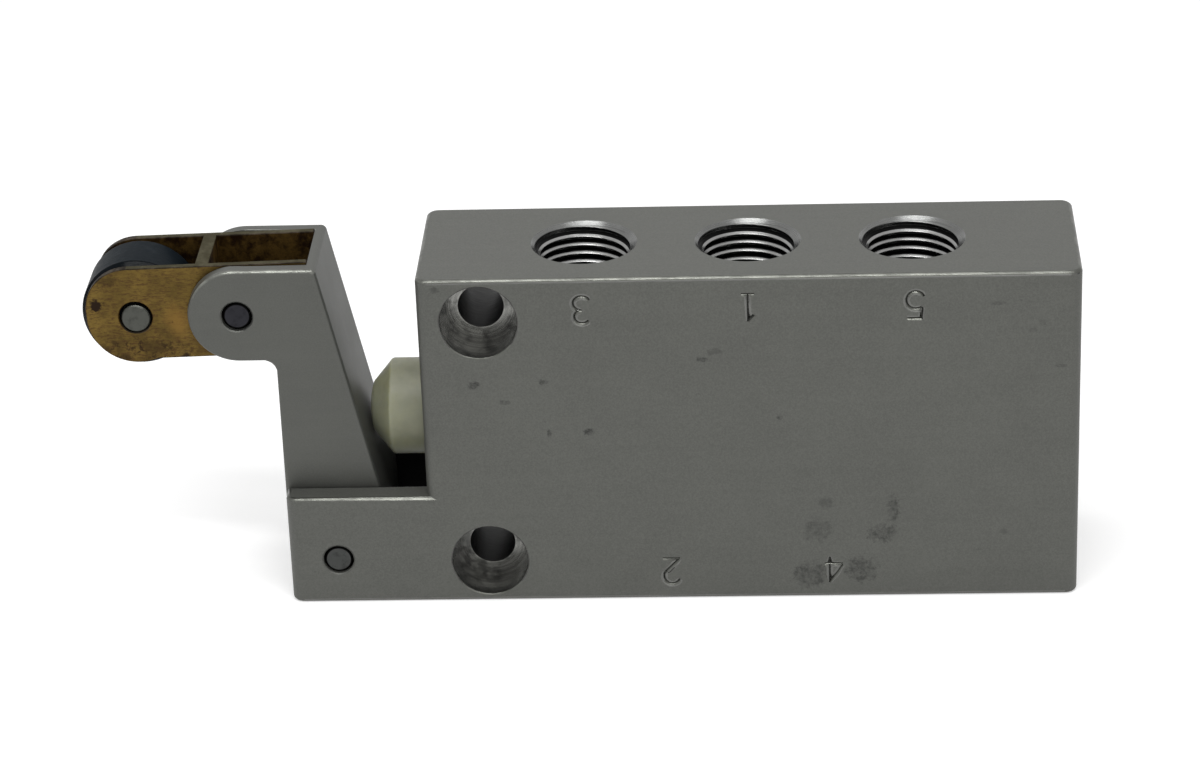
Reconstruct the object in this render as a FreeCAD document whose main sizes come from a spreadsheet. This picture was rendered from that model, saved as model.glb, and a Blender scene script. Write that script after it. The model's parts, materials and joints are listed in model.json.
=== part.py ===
import FreeCAD, Part
import math
import os
import Sketcher

# Stem operated air valve: a five-port spool valve in a rectangular block, pushed by a
# lever whose folding roller link trips it in one direction only.
#
# Frame: +X along the block towards the end plug, +Y towards the back mounting face,
# +Z up. The origin is on the back face, midway between the two mounting holes, so the
# bore axis runs along X at Z = 0.

SIZES = {
    "block_height": 35.0,
    "block_depth": 17.5,
    "corner_radius": 1.2,
    "edge_break": 0.25,
    "cut_margin": 1.0,
    "hole_inset": 6.0,
    "hole_margin": 4.5,
    "screw_hole": 4.5,
    "counterbore": 7.5,
    "counterbore_depth": 4.0,
    "first_port": 16.0,
    "port_pitch": 16.0,
    "port_thread": 9.728,
    "port_depth": 8.0,
    "port_rim": 10.4,
    "port_drill": 5.0,
    "clevis_reach": 14.0,
    "clevis_height": 11.6,
    "lever_side_gap": 0.3,
    "pivot_overhang": 9.1,
    "pivot_height": 4.75,
    "pin_diameter": 3.0,
    "pin_recess": 0.2,
    "pin_chamfer": 0.3,
    "pin_fit": 0.01,
    "pin_play": 0.05,
    "fork_cheek": 1.4,
    "lever_lean": 12.16,
    "tip_gap": 0.06,
    "foot_front": 4.8,
    "foot_gap": 0.3,
    "foot_corner": 4.1,
    "neck_back": 5.2,
    "neck_fillet": 1.2,
    "link_overhang": 17.8,
    "arm_drop": 0.05,
    "arm_radius": 4.85,
    "link_side_gap": 0.2,
    "fork_run": 7.0,
    "fork_floor_gap": 0.1,
    "link_cheek": 0.8,
    "link_half_height": 4.85,
    "link_end_radius": 4.85,
    "link_tilt": 1.5,
    "axle_drop": 0.35,
    "link_corner": 4.4,
    "stop_gap": 0.05,
    "web_thickness": 1.3,
    "web_gap": 0.8,
    "axle_diameter": 2.9,
    "axle_slack": 0.4,
    "axle_rest_gap": 0.05,
    "roller_diameter": 11.0,
    "roller_width": 5.8,
    "roller_side_gap": 0.4,
    "roller_chamfer": 0.5,
    "roller_play": 0.05,
    "torsion_wire": 0.7,
    "torsion_play": 0.2,
    "torsion_turns": 4.0,
    "torsion_pitch": 0.95,
    "torsion_leg_gap": 0.1,
    "torsion_web_gap": 0.2,
    "plunger_diameter": 9.6,
    "plunger_play": 0.15,
    "plunger_neck": 3.6,
    "plunger_tip": 5.86,
    "tip_radius": 2.5,
    "tip_crown": 0.35,
    "tail_diameter": 4.0,
    "socket_depth": 4.0,
    "socket_gap": 0.2,
    "stroke": 2.8,
    "stroke_spare": 0.2,
    "stack_bore": 12.5,
    "stack_fit": 0.03,
    "seal_width": 2.0,
    "seal_crown": 0.35,
    "seal_fit": 0.02,
    "bush_length": 3.0,
    "rear_guide": 2.0,
    "cage_groove": 0.9,
    "cage_rim": 0.9,
    "cage_bore": 9.0,
    "cage_hole": 2.6,
    "cage_holes": 6.0,
    "land_diameter": 7.4,
    "neck_diameter": 4.6,
    "land_play": 0.05,
    "land_overlap": 0.2,
    "flange_diameter": 9.2,
    "flange_length": 0.8,
    "rest_gap": 0.05,
    "flange_play": 0.2,
    "spring_wire": 0.6,
    "spring_radius": 1.95,
    "spring_turns": 6.0,
    "spring_play": 0.1,
    "spring_pocket": 6.5,
    "plug_land": 0.825,
    "plug_boss": 1.5,
    "oring_section": 1.4,
    "oring_fit": 0.03,
    "oring_side_gap": 0.15,
    "ring_thickness": 1.0,
    "ring_inset": 0.8,
    "ring_groove": 0.45,
    "ring_width": 1.1,
    "ring_gap": 2.4,
    "ring_eye": 1.3,
    "eye_hole": 0.9,
}
SEAL_COUNT = 6
CAGE_COUNT = SEAL_COUNT - 1
ROUNDING = 1e-6
SAME_PLACE = 1e-4

doc = FreeCAD.newDocument("stem_operated_air_valve")
sheet = doc.addObject("Spreadsheet::Sheet", "sizes")
for row, (alias, number) in enumerate(SIZES.items(), start=1):
    sheet.set(f"A{row}", alias)
    sheet.set(f"B{row}", str(number))
    sheet.setAlias(f"B{row}", alias)
doc.recompute()

# Places worked out from the sheet, as expressions.
BLOCK_LEFT = "(-sizes.hole_inset)"
BLOCK_TOP = "(sizes.block_height / 2)"
BLOCK_BOTTOM = "(-sizes.block_height / 2)"
MID_DEPTH = "(-sizes.block_depth / 2)"
CLEVIS_LEFT = f"({BLOCK_LEFT} - sizes.clevis_reach)"
CLEVIS_TOP = f"({BLOCK_BOTTOM} + sizes.clevis_height)"
FIRST_PORT = f"({BLOCK_LEFT} + sizes.first_port)"
HALF_PITCH = "(sizes.port_pitch / 2)"
SEAL_HALF = "(sizes.seal_width / 2)"

PIVOT_X = f"({BLOCK_LEFT} - sizes.pivot_overhang)"
PIVOT_Z = f"({BLOCK_BOTTOM} + sizes.pivot_height)"
LINK_X = f"({BLOCK_LEFT} - sizes.link_overhang)"
LINK_Z = f"({BLOCK_TOP} - sizes.arm_drop - sizes.arm_radius)"
PIN_RADIUS = "(sizes.pin_diameter / 2)"
PIN_HOLE = f"({PIN_RADIUS} + sizes.pin_fit)"
PIN_BORE = f"({PIN_RADIUS} + sizes.pin_play)"
HOLE_Z = f"({BLOCK_TOP} - sizes.hole_margin)"

# Across the depth, each piece is as wide as what it holds: roller, link, lever, clevis.
LINK_INNER = "(sizes.roller_width + 2 * sizes.roller_side_gap)"
LINK_WIDTH = f"({LINK_INNER} + 2 * sizes.link_cheek)"
FORK_SLOT = f"({LINK_WIDTH} + 2 * sizes.link_side_gap)"
LEVER_THICKNESS = f"({FORK_SLOT} + 2 * sizes.fork_cheek)"
CLEVIS_SLOT = f"({LEVER_THICKNESS} + 2 * sizes.lever_side_gap)"

# Along the link from its pin: the coil, the web, the roller.
COIL_RADIUS = f"({PIN_RADIUS} + sizes.torsion_wire / 2 + sizes.torsion_play)"
WEB_RIGHT = f"(-{COIL_RADIUS} - sizes.torsion_wire / 2 - sizes.torsion_web_gap)"
WEB_LEFT = f"({WEB_RIGHT} - sizes.web_thickness)"
AXLE_X = f"({WEB_LEFT} - sizes.web_gap - sizes.roller_diameter / 2)"

# The stack in the bore: front bush, six seals with five cages between them, rear bush.
STACK_RADIUS = "(sizes.stack_bore / 2)"
STACK_OUTER = f"({STACK_RADIUS} - sizes.stack_fit)"
STACK_FRONT = f"({FIRST_PORT} - {HALF_PITCH} / 2 - {SEAL_HALF} - sizes.bush_length)"
REAR_BUSH = f"({FIRST_PORT} + ({SEAL_COUNT} - 1.5) * {HALF_PITCH} + {SEAL_HALF})"
LAND_RADIUS = "(sizes.land_diameter / 2)"
LAND_BORE = f"({LAND_RADIUS} + sizes.land_play)"
FLANGE_FRONT = f"({REAR_BUSH} + sizes.rear_guide + sizes.rest_gap)"
FLANGE_BACK = f"({FLANGE_FRONT} + sizes.flange_length)"
PLUG_FRONT = f"({FLANGE_BACK} + sizes.stroke + sizes.stroke_spare)"
PLUG_GROOVE = "(sizes.oring_section + 2 * sizes.oring_side_gap)"
RING_FRONT = f"({PLUG_FRONT} + {PLUG_GROOVE} + 2 * sizes.plug_land)"
RING_BACK = f"({RING_FRONT} + sizes.ring_thickness)"
BLOCK_RIGHT = f"({RING_BACK} + sizes.ring_inset)"
PLUNGER_RADIUS = "(sizes.plunger_diameter / 2)"
PLUNGER_BACK = f"({STACK_FRONT} - sizes.stroke - sizes.stroke_spare)"

# The lever's face passes the plunger's crown with a small gap.
CROWN = "((sizes.tip_radius ^ 2 + sizes.tip_crown ^ 2) / (2 * sizes.tip_crown))"
LEAN = "(1 deg * sizes.lever_lean)"
FACE_OFFSET = (f"((sizes.pivot_overhang - sizes.plunger_tip + {CROWN}) * cos({LEAN})"
               f" - {PIVOT_Z} * sin({LEAN}) - {CROWN} - sizes.tip_gap)")


def size(expression):
    """The number that an expression of sheet values gives."""
    result = sheet.evalExpression(expression)
    return float(getattr(result, "Value", result))


def seal_at(number):
    """The place of a seal along the bore; the first is half a spacing before the first port."""
    return f"({FIRST_PORT} + ({number} - 1.5) * {HALF_PITCH})"


def add_body(name, x="0", y=MID_DEPTH, z="0"):
    """A body that carries the sub-part's name and sits at the given place."""
    body = doc.addObject("PartDesign::Body", name)
    body.Label = name
    for direction, place in (("x", x), ("y", y), ("z", z)):
        body.setExpression(f"Placement.Base.{direction}", place)
    return body


def add_sketch(body, name, plane, across="0", up="0", out="0"):
    """A sketch on one of the body's own planes, moved by the offsets."""
    sketch = body.newObject("Sketcher::SketchObject", f"{body.Label}_{name}")
    support = next(item for item in body.Origin.OriginFeatures if item.Role == plane)
    sketch.AttachmentSupport = (support, [""])
    sketch.MapMode = "FlatFace"
    for direction, place in (("x", across), ("y", up), ("z", out)):
        sketch.setExpression(f"AttachmentOffset.Base.{direction}", place)
    return sketch


def hold(sketch, kind, expression, *where):
    """One measured constraint, tied to its expression."""
    index = sketch.addConstraint(Sketcher.Constraint(kind, *where, size(expression)))
    sketch.setExpression(f"Constraints[{index}]", expression)


def arc_between(start, end, radius):
    """The arc from start to end that bulges to the right of the way there."""
    chord = end - start
    middle = (start + end) * 0.5
    rise = math.sqrt(max(radius ** 2 - (chord.Length / 2) ** 2, 0.0))
    left = FreeCAD.Vector(-chord.y, chord.x, 0).normalize()
    centre = middle + left * rise
    crest = centre - left * radius
    return Part.Arc(start, crest, end)


def outline(sketch, corners):
    """A closed outline, drawn counter-clockwise through the corners.

    A corner is (across, up), or (across, up, radius) where an arc of that radius
    leads to the next corner.
    """
    points = [FreeCAD.Vector(size(corner[0]), size(corner[1]), 0) for corner in corners]
    count = len(points)
    first = sketch.GeometryCount
    for index, corner in enumerate(corners):
        start = points[index]
        end = points[(index + 1) % count]
        if len(corner) == 3:
            sketch.addGeometry(arc_between(start, end, size(corner[2])))
        else:
            sketch.addGeometry(Part.LineSegment(start, end))
    for index, corner in enumerate(corners):
        this = first + index
        after = first + (index + 1) % count
        sketch.addConstraint(Sketcher.Constraint("Coincident", this, 2, after, 1))
        hold(sketch, "DistanceX", corner[0], -1, 1, this, 1)
        hold(sketch, "DistanceY", corner[1], -1, 1, this, 1)
        if len(corner) == 3:
            hold(sketch, "Radius", corner[2], this)


def disc(sketch, across, up, radius):
    """A circle of the given centre and radius."""
    centre = FreeCAD.Vector(size(across), size(up), 0)
    index = sketch.addGeometry(Part.Circle(centre, FreeCAD.Vector(0, 0, 1), size(radius)))
    hold(sketch, "DistanceX", across, -1, 1, index, 3)
    hold(sketch, "DistanceY", up, -1, 1, index, 3)
    hold(sketch, "Radius", radius, index)


def volume_of(body):
    """The body's volume once everything before this point is worked out."""
    doc.recompute()
    return body.Shape.Volume


def add_pad(body, sketch, length):
    """Material on both sides of the sketch, length in all."""
    before = volume_of(body) if body.Tip else 0.0
    pad = body.newObject("PartDesign::Pad", f"{sketch.Name}_pad")
    pad.Profile = sketch
    pad.SideType = "Symmetric"
    pad.setExpression("Length", length)
    if volume_of(body) <= before:
        raise RuntimeError(f"{pad.Name} adds nothing")
    return pad


def add_pocket(body, sketch, length):
    """A cut on both sides of the sketch, length in all."""
    before = volume_of(body)
    pocket = body.newObject("PartDesign::Pocket", f"{sketch.Name}_pocket")
    pocket.Profile = sketch
    pocket.SideType = "Symmetric"
    pocket.setExpression("Length", length)
    if volume_of(body) >= before:
        raise RuntimeError(f"{pocket.Name} cuts nothing")
    return pocket


def add_turn(body, sketch, axis, kind="Revolution"):
    """A revolution or groove of the sketch about its own H_Axis or V_Axis."""
    before = volume_of(body) if kind == "Groove" else 0.0
    turn = body.newObject(f"PartDesign::{kind}", f"{sketch.Name}_{kind.lower()}")
    turn.Profile = sketch
    turn.ReferenceAxis = (sketch, [axis])
    turn.Angle = 360
    if kind == "Groove" and volume_of(body) >= before:
        raise RuntimeError(f"{turn.Name} cuts nothing")
    return turn


def row_of(body, feature, name, axis, length, count):
    """Copies of a feature in a straight row that is length long."""
    row = body.newObject("PartDesign::LinearPattern", f"{body.Label}_{name}")
    row.Originals = [feature]
    row.Direction = (next(o for o in body.Origin.OriginFeatures if o.Role == axis), [""])
    row.setExpression("Length", length)
    row.Occurrences = count
    body.Tip = row
    doc.recompute()
    return row


def ring_of(body, feature, name, axis, count):
    """Copies of a feature in a full circle."""
    ring = body.newObject("PartDesign::PolarPattern", f"{body.Label}_{name}")
    ring.Originals = [feature]
    ring.Axis = (next(o for o in body.Origin.OriginFeatures if o.Role == axis), [""])
    ring.Angle = 360
    ring.Occurrences = count
    body.Tip = ring
    doc.recompute()
    return ring


def edges_where(feature, test):
    """The names of the feature's edges that pass the test."""
    doc.recompute()
    return [f"Edge{number}" for number, edge in enumerate(feature.Shape.Edges, start=1) if test(edge)]


def near(value, target):
    """Whether two coordinates are the same."""
    return abs(value - target) < SAME_PLACE


def depth_edge_at(*places):
    """A test for straight edges along Y that stand at one of the (x, z) places."""

    def test(edge):
        middle = edge.BoundBox.Center
        box = edge.BoundBox
        if not (near(box.XLength, 0) and near(box.ZLength, 0)):
            return False
        return any(near(middle.x, size(x)) and near(middle.z, size(z)) for x, z in places)

    return test


def dress(body, feature, name, kind, amount, test):
    """A fillet or chamfer of the given amount on the edges that pass the test."""
    edges = edges_where(feature, test)
    if not edges:
        raise RuntimeError(f"{body.Label} has no edge for {name}")
    dressed = body.newObject(f"PartDesign::{kind}", f"{body.Label}_{name}")
    dressed.Base = (feature, edges)
    dressed.setExpression("Radius" if kind == "Fillet" else "Size", amount)
    doc.recompute()
    return dressed


def turned_along_x(name, corners, x="0"):
    """A piece turned about the bore axis; corners are (along, radius)."""
    body = add_body(name, x)
    sketch = add_sketch(body, "profile", "XZ_Plane")
    outline(sketch, corners)
    add_turn(body, sketch, "H_Axis")
    return body


def turned_along_y(name, corners, x, z):
    """A piece turned about an axis along Y; corners are (radius, along)."""
    body = add_body(name, x, MID_DEPTH, z)
    sketch = add_sketch(body, "profile", "XY_Plane")
    outline(sketch, corners)
    add_turn(body, sketch, "V_Axis")


def outer_face_edges(half_depth):
    """A test for the edges that lie in the front or back face of a flat piece."""

    def test(edge):
        box = edge.BoundBox
        return near(box.YLength, 0) and near(abs(box.YMin), size(half_depth))

    return test


def make_block():
    """The block with its clevis, ports, screw holes and stepped bore."""
    body = add_body("valve_body")
    half_depth = "(sizes.block_depth / 2)"

    sketch = add_sketch(body, "block", "XY_Plane")
    outline(sketch, [
        (BLOCK_LEFT, f"-{half_depth}"),
        (BLOCK_RIGHT, f"-{half_depth}"),
        (BLOCK_RIGHT, half_depth),
        (BLOCK_LEFT, half_depth),
    ])
    block = add_pad(body, sketch, "sizes.block_height")

    def upright(edge):
        return near(edge.BoundBox.ZLength, size("sizes.block_height"))

    dress(body, block, "corners", "Fillet", "sizes.corner_radius", upright)

    sketch = add_sketch(body, "clevis", "XZ_Plane")
    root = f"({BLOCK_LEFT} + sizes.corner_radius + sizes.cut_margin)"
    outline(sketch, [
        (CLEVIS_LEFT, BLOCK_BOTTOM),
        (root, BLOCK_BOTTOM),
        (root, CLEVIS_TOP),
        (CLEVIS_LEFT, CLEVIS_TOP),
    ])
    clevis = add_pad(body, sketch, "sizes.block_depth")

    def clevis_end(edge):
        box = edge.BoundBox
        return near(box.XMax, size(CLEVIS_LEFT)) and near(box.ZLength, size("sizes.clevis_height"))

    dress(body, clevis, "clevis_corners", "Fillet", "sizes.corner_radius", clevis_end)

    sketch = add_sketch(body, "clevis_slot", "XZ_Plane")
    outline(sketch, [
        (f"({CLEVIS_LEFT} - sizes.cut_margin)", f"({BLOCK_BOTTOM} - sizes.cut_margin)"),
        (BLOCK_LEFT, f"({BLOCK_BOTTOM} - sizes.cut_margin)"),
        (BLOCK_LEFT, f"({CLEVIS_TOP} + sizes.cut_margin)"),
        (f"({CLEVIS_LEFT} - sizes.cut_margin)", f"({CLEVIS_TOP} + sizes.cut_margin)"),
    ])
    slot = add_pocket(body, sketch, CLEVIS_SLOT)

    left = size(BLOCK_LEFT)
    clevis_left = size(CLEVIS_LEFT)
    right = size(BLOCK_RIGHT)
    top = size(BLOCK_TOP)
    bottom = size(BLOCK_BOTTOM)
    clevis_top = size(CLEVIS_TOP)
    slot_half = size(f"{CLEVIS_SLOT} / 2")

    def outer_edge(edge):
        """Edges round the block's two ends, top and bottom, and the clevis ears."""
        box = edge.BoundBox
        if near(box.ZMin, box.ZMax) and (near(box.ZMin, top) or near(box.ZMin, bottom)):
            middle = box.Center
            in_slot = middle.x < left + ROUNDING and abs(middle.y) < slot_half + SAME_PLACE
            return not in_slot or near(box.YLength, 0)
        if near(box.ZMin, box.ZMax) and near(box.ZMin, clevis_top):
            return box.XMax < left - ROUNDING or near(box.XMin, clevis_left)
        return False

    dress(body, slot, "edge_break", "Chamfer", "sizes.edge_break", outer_edge)

    sketch = add_sketch(body, "bore", "XZ_Plane")
    plunger_bore = f"({PLUNGER_RADIUS} + sizes.plunger_play)"
    groove_radius = f"({STACK_RADIUS} + sizes.ring_groove)"
    entry = "sizes.edge_break"
    outline(sketch, [
        (f"({BLOCK_LEFT} - sizes.cut_margin)", "0"),
        (f"({BLOCK_RIGHT} + sizes.cut_margin)", "0"),
        (f"({BLOCK_RIGHT} + sizes.cut_margin)", f"({STACK_RADIUS} + {entry} + sizes.cut_margin)"),
        (f"({BLOCK_RIGHT} - {entry})", STACK_RADIUS),
        (RING_BACK, STACK_RADIUS),
        (RING_BACK, groove_radius),
        (RING_FRONT, groove_radius),
        (RING_FRONT, STACK_RADIUS),
        (STACK_FRONT, STACK_RADIUS),
        (STACK_FRONT, plunger_bore),
        (f"({BLOCK_LEFT} + {entry})", plunger_bore),
        (f"({BLOCK_LEFT} - sizes.cut_margin)", f"({plunger_bore} + {entry} + sizes.cut_margin)"),
    ])
    add_turn(body, sketch, "H_Axis", "Groove")

    make_ports(body)

    sketch = add_sketch(body, "screw_hole", "XY_Plane", out=HOLE_Z)
    front = f"(-{half_depth} - sizes.cut_margin)"
    back = f"({half_depth} + sizes.cut_margin)"
    step = f"(-{half_depth} + sizes.counterbore_depth)"
    outline(sketch, [
        ("0", front),
        ("(sizes.counterbore / 2)", front),
        ("(sizes.counterbore / 2)", step),
        ("(sizes.screw_hole / 2)", step),
        ("(sizes.screw_hole / 2)", back),
        ("0", back),
    ])
    hole = add_turn(body, sketch, "V_Axis", "Groove")
    holes = row_of(body, hole, "screw_holes", "Z_Axis", f"(2 * {HOLE_Z})", 2)
    holes.Reversed = True

    sketch = add_sketch(body, "pivot_hole", "XZ_Plane")
    disc(sketch, PIVOT_X, PIVOT_Z, PIN_HOLE)
    ears = add_pocket(body, sketch, "(sizes.block_depth + sizes.cut_margin)")

    hole_radius = size(PIN_HOLE)

    def ear_rim(edge):
        curve = edge.Curve
        return (isinstance(curve, Part.Circle) and near(curve.Radius, hole_radius)
                and near(abs(edge.BoundBox.Center.y), size(half_depth)))

    dress(body, ears, "pivot_rim", "Chamfer", "(sizes.edge_break / 2)", ear_rim)


def make_ports(body):
    """Three threaded ports on top and two underneath, half a pitch apart."""
    thread = "(sizes.port_thread / 2)"
    rim = "(sizes.port_rim / 2)"
    drill = "(sizes.port_drill / 2)"
    flare = f"({rim} + sizes.cut_margin)"
    for side, sign, start, count in (("top", "", "0", 3), ("bottom", "-", HALF_PITCH, 2)):
        sketch = add_sketch(body, f"{side}_port", "XZ_Plane", across=f"({FIRST_PORT} + {start})")
        heights = [
            ("0", f"({BLOCK_TOP} + sizes.cut_margin)"),
            (flare, f"({BLOCK_TOP} + sizes.cut_margin)"),
            (thread, f"({BLOCK_TOP} - ({rim} - {thread}))"),
            (thread, f"({BLOCK_TOP} - sizes.port_depth)"),
            (drill, f"({BLOCK_TOP} - sizes.port_depth)"),
            (drill, f"({STACK_RADIUS} - sizes.cage_groove / 2)"),
            ("0", f"({STACK_RADIUS} - sizes.cage_groove / 2)"),
        ]
        corners = [(radius, f"({sign}{height})") for radius, height in heights]
        outline(sketch, corners[::-1] if side == "top" else corners)
        port = add_turn(body, sketch, "V_Axis", "Groove")
        row_of(body, port, f"{side}_ports", "X_Axis", f"({count - 1} * sizes.port_pitch)", count)


def make_pin(name, length, x, z):
    """A plain pin across the depth with chamfered ends."""
    half = f"({length} / 2)"
    turned_along_y(name, [
        ("0", f"(-{half})"),
        (f"({PIN_RADIUS} - sizes.pin_chamfer)", f"(-{half})"),
        (PIN_RADIUS, f"(-{half} + sizes.pin_chamfer)"),
        (PIN_RADIUS, f"({half} - sizes.pin_chamfer)"),
        (f"({PIN_RADIUS} - sizes.pin_chamfer)", half),
        ("0", half),
    ], x, z)


def make_lever():
    """The lever: a leaning neck on a rounded foot, with a forked arm to the left."""
    body = add_body("lever", PIVOT_X, MID_DEPTH, PIVOT_Z)
    arm_x = "(sizes.pivot_overhang - sizes.link_overhang)"
    arm_z = f"({LINK_Z} - {PIVOT_Z})"
    top = f"({arm_z} + sizes.arm_radius)"
    under = f"({arm_z} - sizes.arm_radius)"
    face_top = f"(({FACE_OFFSET} - {top} * sin({LEAN})) / cos({LEAN}))"
    face_foot = f"(({FACE_OFFSET} - sizes.foot_front * cos({LEAN})) / sin({LEAN}))"
    foot = "(sizes.foot_gap - sizes.pivot_height)"
    back = "(-sizes.neck_back)"
    outer = f"({LEVER_THICKNESS} / 2)"

    sketch = add_sketch(body, "side", "XZ_Plane")
    outline(sketch, [
        (arm_x, under),
        (back, under),
        (back, foot),
        ("sizes.foot_front", foot),
        ("sizes.foot_front", face_foot),
        (face_top, top),
        (arm_x, top),
    ])
    side = add_pad(body, sketch, LEVER_THICKNESS)
    corners = depth_edge_at((back, foot), ("sizes.foot_front", foot))
    feet = dress(body, side, "foot", "Fillet", "sizes.foot_corner", corners)
    dress(body, feet, "neck", "Fillet", "sizes.neck_fillet", depth_edge_at((back, under)))

    sketch = add_sketch(body, "arm_end", "XZ_Plane")
    disc(sketch, arm_x, arm_z, "sizes.arm_radius")
    add_pad(body, sketch, LEVER_THICKNESS)

    sketch = add_sketch(body, "fork_slot", "XZ_Plane")
    wall = f"({arm_x} + sizes.fork_run)"
    reach = f"({arm_x} - sizes.arm_radius - sizes.cut_margin)"
    floor = f"({under} - sizes.neck_fillet - sizes.fork_floor_gap)"
    roof = f"({top} + sizes.cut_margin)"
    outline(sketch, [(reach, floor), (wall, floor), (wall, roof), (reach, roof)])
    fork = add_pocket(body, sketch, FORK_SLOT)
    dress(body, fork, "edge_break", "Chamfer", "sizes.edge_break", outer_face_edges(outer))

    sketch = add_sketch(body, "pivot_bore", "XZ_Plane")
    disc(sketch, "0", "0", PIN_BORE)
    add_pocket(body, sketch, f"({LEVER_THICKNESS} + sizes.cut_margin)")
    sketch = add_sketch(body, "link_pin_hole", "XZ_Plane")
    disc(sketch, arm_x, arm_z, PIN_HOLE)
    holes = add_pocket(body, sketch, f"({LEVER_THICKNESS} + sizes.cut_margin)")

    hole_radius = size(PIN_HOLE)

    def cheek_rim(edge):
        curve = edge.Curve
        return (isinstance(curve, Part.Circle) and near(curve.Radius, hole_radius)
                and near(abs(edge.BoundBox.Center.y), size(outer)))

    dress(body, holes, "pin_rim", "Chamfer", "(sizes.edge_break / 2)", cheek_rim)


def make_link():
    """The roller link: two cheeks joined by a web, with a tail that stops in the fork."""
    body = add_body("roller_link", LINK_X, MID_DEPTH, LINK_Z)
    body.setExpression("Placement.Rotation.Axis.y", "-1")
    body.setExpression("Placement.Rotation.Axis.x", "0")
    body.setExpression("Placement.Rotation.Axis.z", "0")
    body.setExpression("Placement.Rotation.Angle", "sizes.link_tilt")
    half = "sizes.link_half_height"
    tilt = "(1 deg * sizes.link_tilt)"
    axle_z = "(-sizes.axle_drop)"
    end = f"({AXLE_X} - sizes.link_end_radius)"
    stop = "(sizes.fork_run - sizes.stop_gap)"
    tail_top = f"(({stop} + {half} * sin({tilt})) / cos({tilt}))"
    tail_low = f"sqrt({stop} ^ 2 - {half} ^ 2)"

    sketch = add_sketch(body, "cheek", "XZ_Plane")
    outline(sketch, [
        (end, f"(-{half})"),
        (tail_low, f"(-{half})", stop),
        (f"({stop} * cos({tilt}))", f"(-{stop} * sin({tilt}))"),
        (tail_top, half),
        (end, half),
    ])
    cheeks = add_pad(body, sketch, LINK_WIDTH)
    corners = depth_edge_at((end, f"(-{half})"), (end, half))
    dress(body, cheeks, "corners", "Fillet", "sizes.link_corner", corners)

    sketch = add_sketch(body, "axle_end", "XZ_Plane")
    disc(sketch, AXLE_X, axle_z, "sizes.link_end_radius")
    add_pad(body, sketch, LINK_WIDTH)

    low = f"(-{half} - sizes.axle_drop - sizes.cut_margin)"
    high = f"({half} + sizes.cut_margin)"
    far_left = f"({end} - sizes.cut_margin)"
    far_right = f"({tail_top} + sizes.cut_margin)"
    for name, start, finish in (("roller_gap", far_left, WEB_LEFT), ("tail_gap", WEB_RIGHT, far_right)):
        sketch = add_sketch(body, name, "XZ_Plane")
        outline(sketch, [(start, low), (finish, low), (finish, high), (start, high)])
        add_pocket(body, sketch, LINK_INNER)

    sketch = add_sketch(body, "axle_hole", "XZ_Plane")
    disc(sketch, AXLE_X, axle_z, "((sizes.axle_diameter + sizes.axle_slack) / 2)")
    add_pocket(body, sketch, f"({LINK_WIDTH} + sizes.cut_margin)")
    sketch = add_sketch(body, "pin_bore", "XZ_Plane")
    disc(sketch, "0", "0", PIN_BORE)
    add_pocket(body, sketch, f"({LINK_WIDTH} + sizes.cut_margin)")


# The roller's axle hangs a little low in the link's holes.
ROLLER_TILT = "(1 deg * sizes.link_tilt)"
ROLLER_X = (f"({LINK_X} + {AXLE_X} * cos({ROLLER_TILT})"
            f" + sizes.axle_drop * sin({ROLLER_TILT}))")
ROLLER_Z = (f"({LINK_Z} + {AXLE_X} * sin({ROLLER_TILT}) - sizes.axle_drop * cos({ROLLER_TILT})"
            f" - sizes.axle_slack / 2 + sizes.axle_rest_gap)")


def make_roller():
    """The roller, with bevelled rims, on its axle."""
    radius = "(sizes.roller_diameter / 2)"
    bore = "(sizes.axle_diameter / 2 + sizes.roller_play)"
    half = "(sizes.roller_width / 2)"
    bevel = "sizes.roller_chamfer"
    turned_along_y("roller", [
        (bore, f"(-{half})"),
        (f"({radius} - {bevel})", f"(-{half})"),
        (radius, f"(-{half} + {bevel})"),
        (radius, f"({half} - {bevel})"),
        (f"({radius} - {bevel})", half),
        (bore, half),
    ], ROLLER_X, ROLLER_Z)


def make_axle():
    """The roller's pin, flush with the link's cheeks."""
    radius = "(sizes.axle_diameter / 2)"
    half = f"({LINK_WIDTH} / 2)"
    bevel = "(sizes.pin_chamfer / 2)"
    turned_along_y("roller_pin", [
        ("0", f"(-{half})"),
        (f"({radius} - {bevel})", f"(-{half})"),
        (radius, f"(-{half} + {bevel})"),
        (radius, f"({half} - {bevel})"),
        (f"({radius} - {bevel})", half),
        ("0", half),
    ], ROLLER_X, ROLLER_Z)


def make_plunger():
    """The cap on the stem: a cylinder, a cone and a slightly crowned tip."""
    tip = f"({BLOCK_LEFT} - sizes.plunger_tip)"
    neck = f"({BLOCK_LEFT} - sizes.plunger_neck)"
    socket = f"({PLUNGER_BACK} - sizes.socket_depth)"
    socket_radius = "(sizes.tail_diameter / 2 + sizes.pin_fit)"
    turned_along_x("plunger", [
        (tip, "0"),
        (socket, "0"),
        (socket, socket_radius),
        (PLUNGER_BACK, socket_radius),
        (PLUNGER_BACK, f"({PLUNGER_RADIUS} - sizes.edge_break)"),
        (f"({PLUNGER_BACK} - sizes.edge_break)", PLUNGER_RADIUS),
        (neck, PLUNGER_RADIUS),
        (f"({tip} + sizes.tip_crown)", "sizes.tip_radius", CROWN),
    ])


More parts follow.
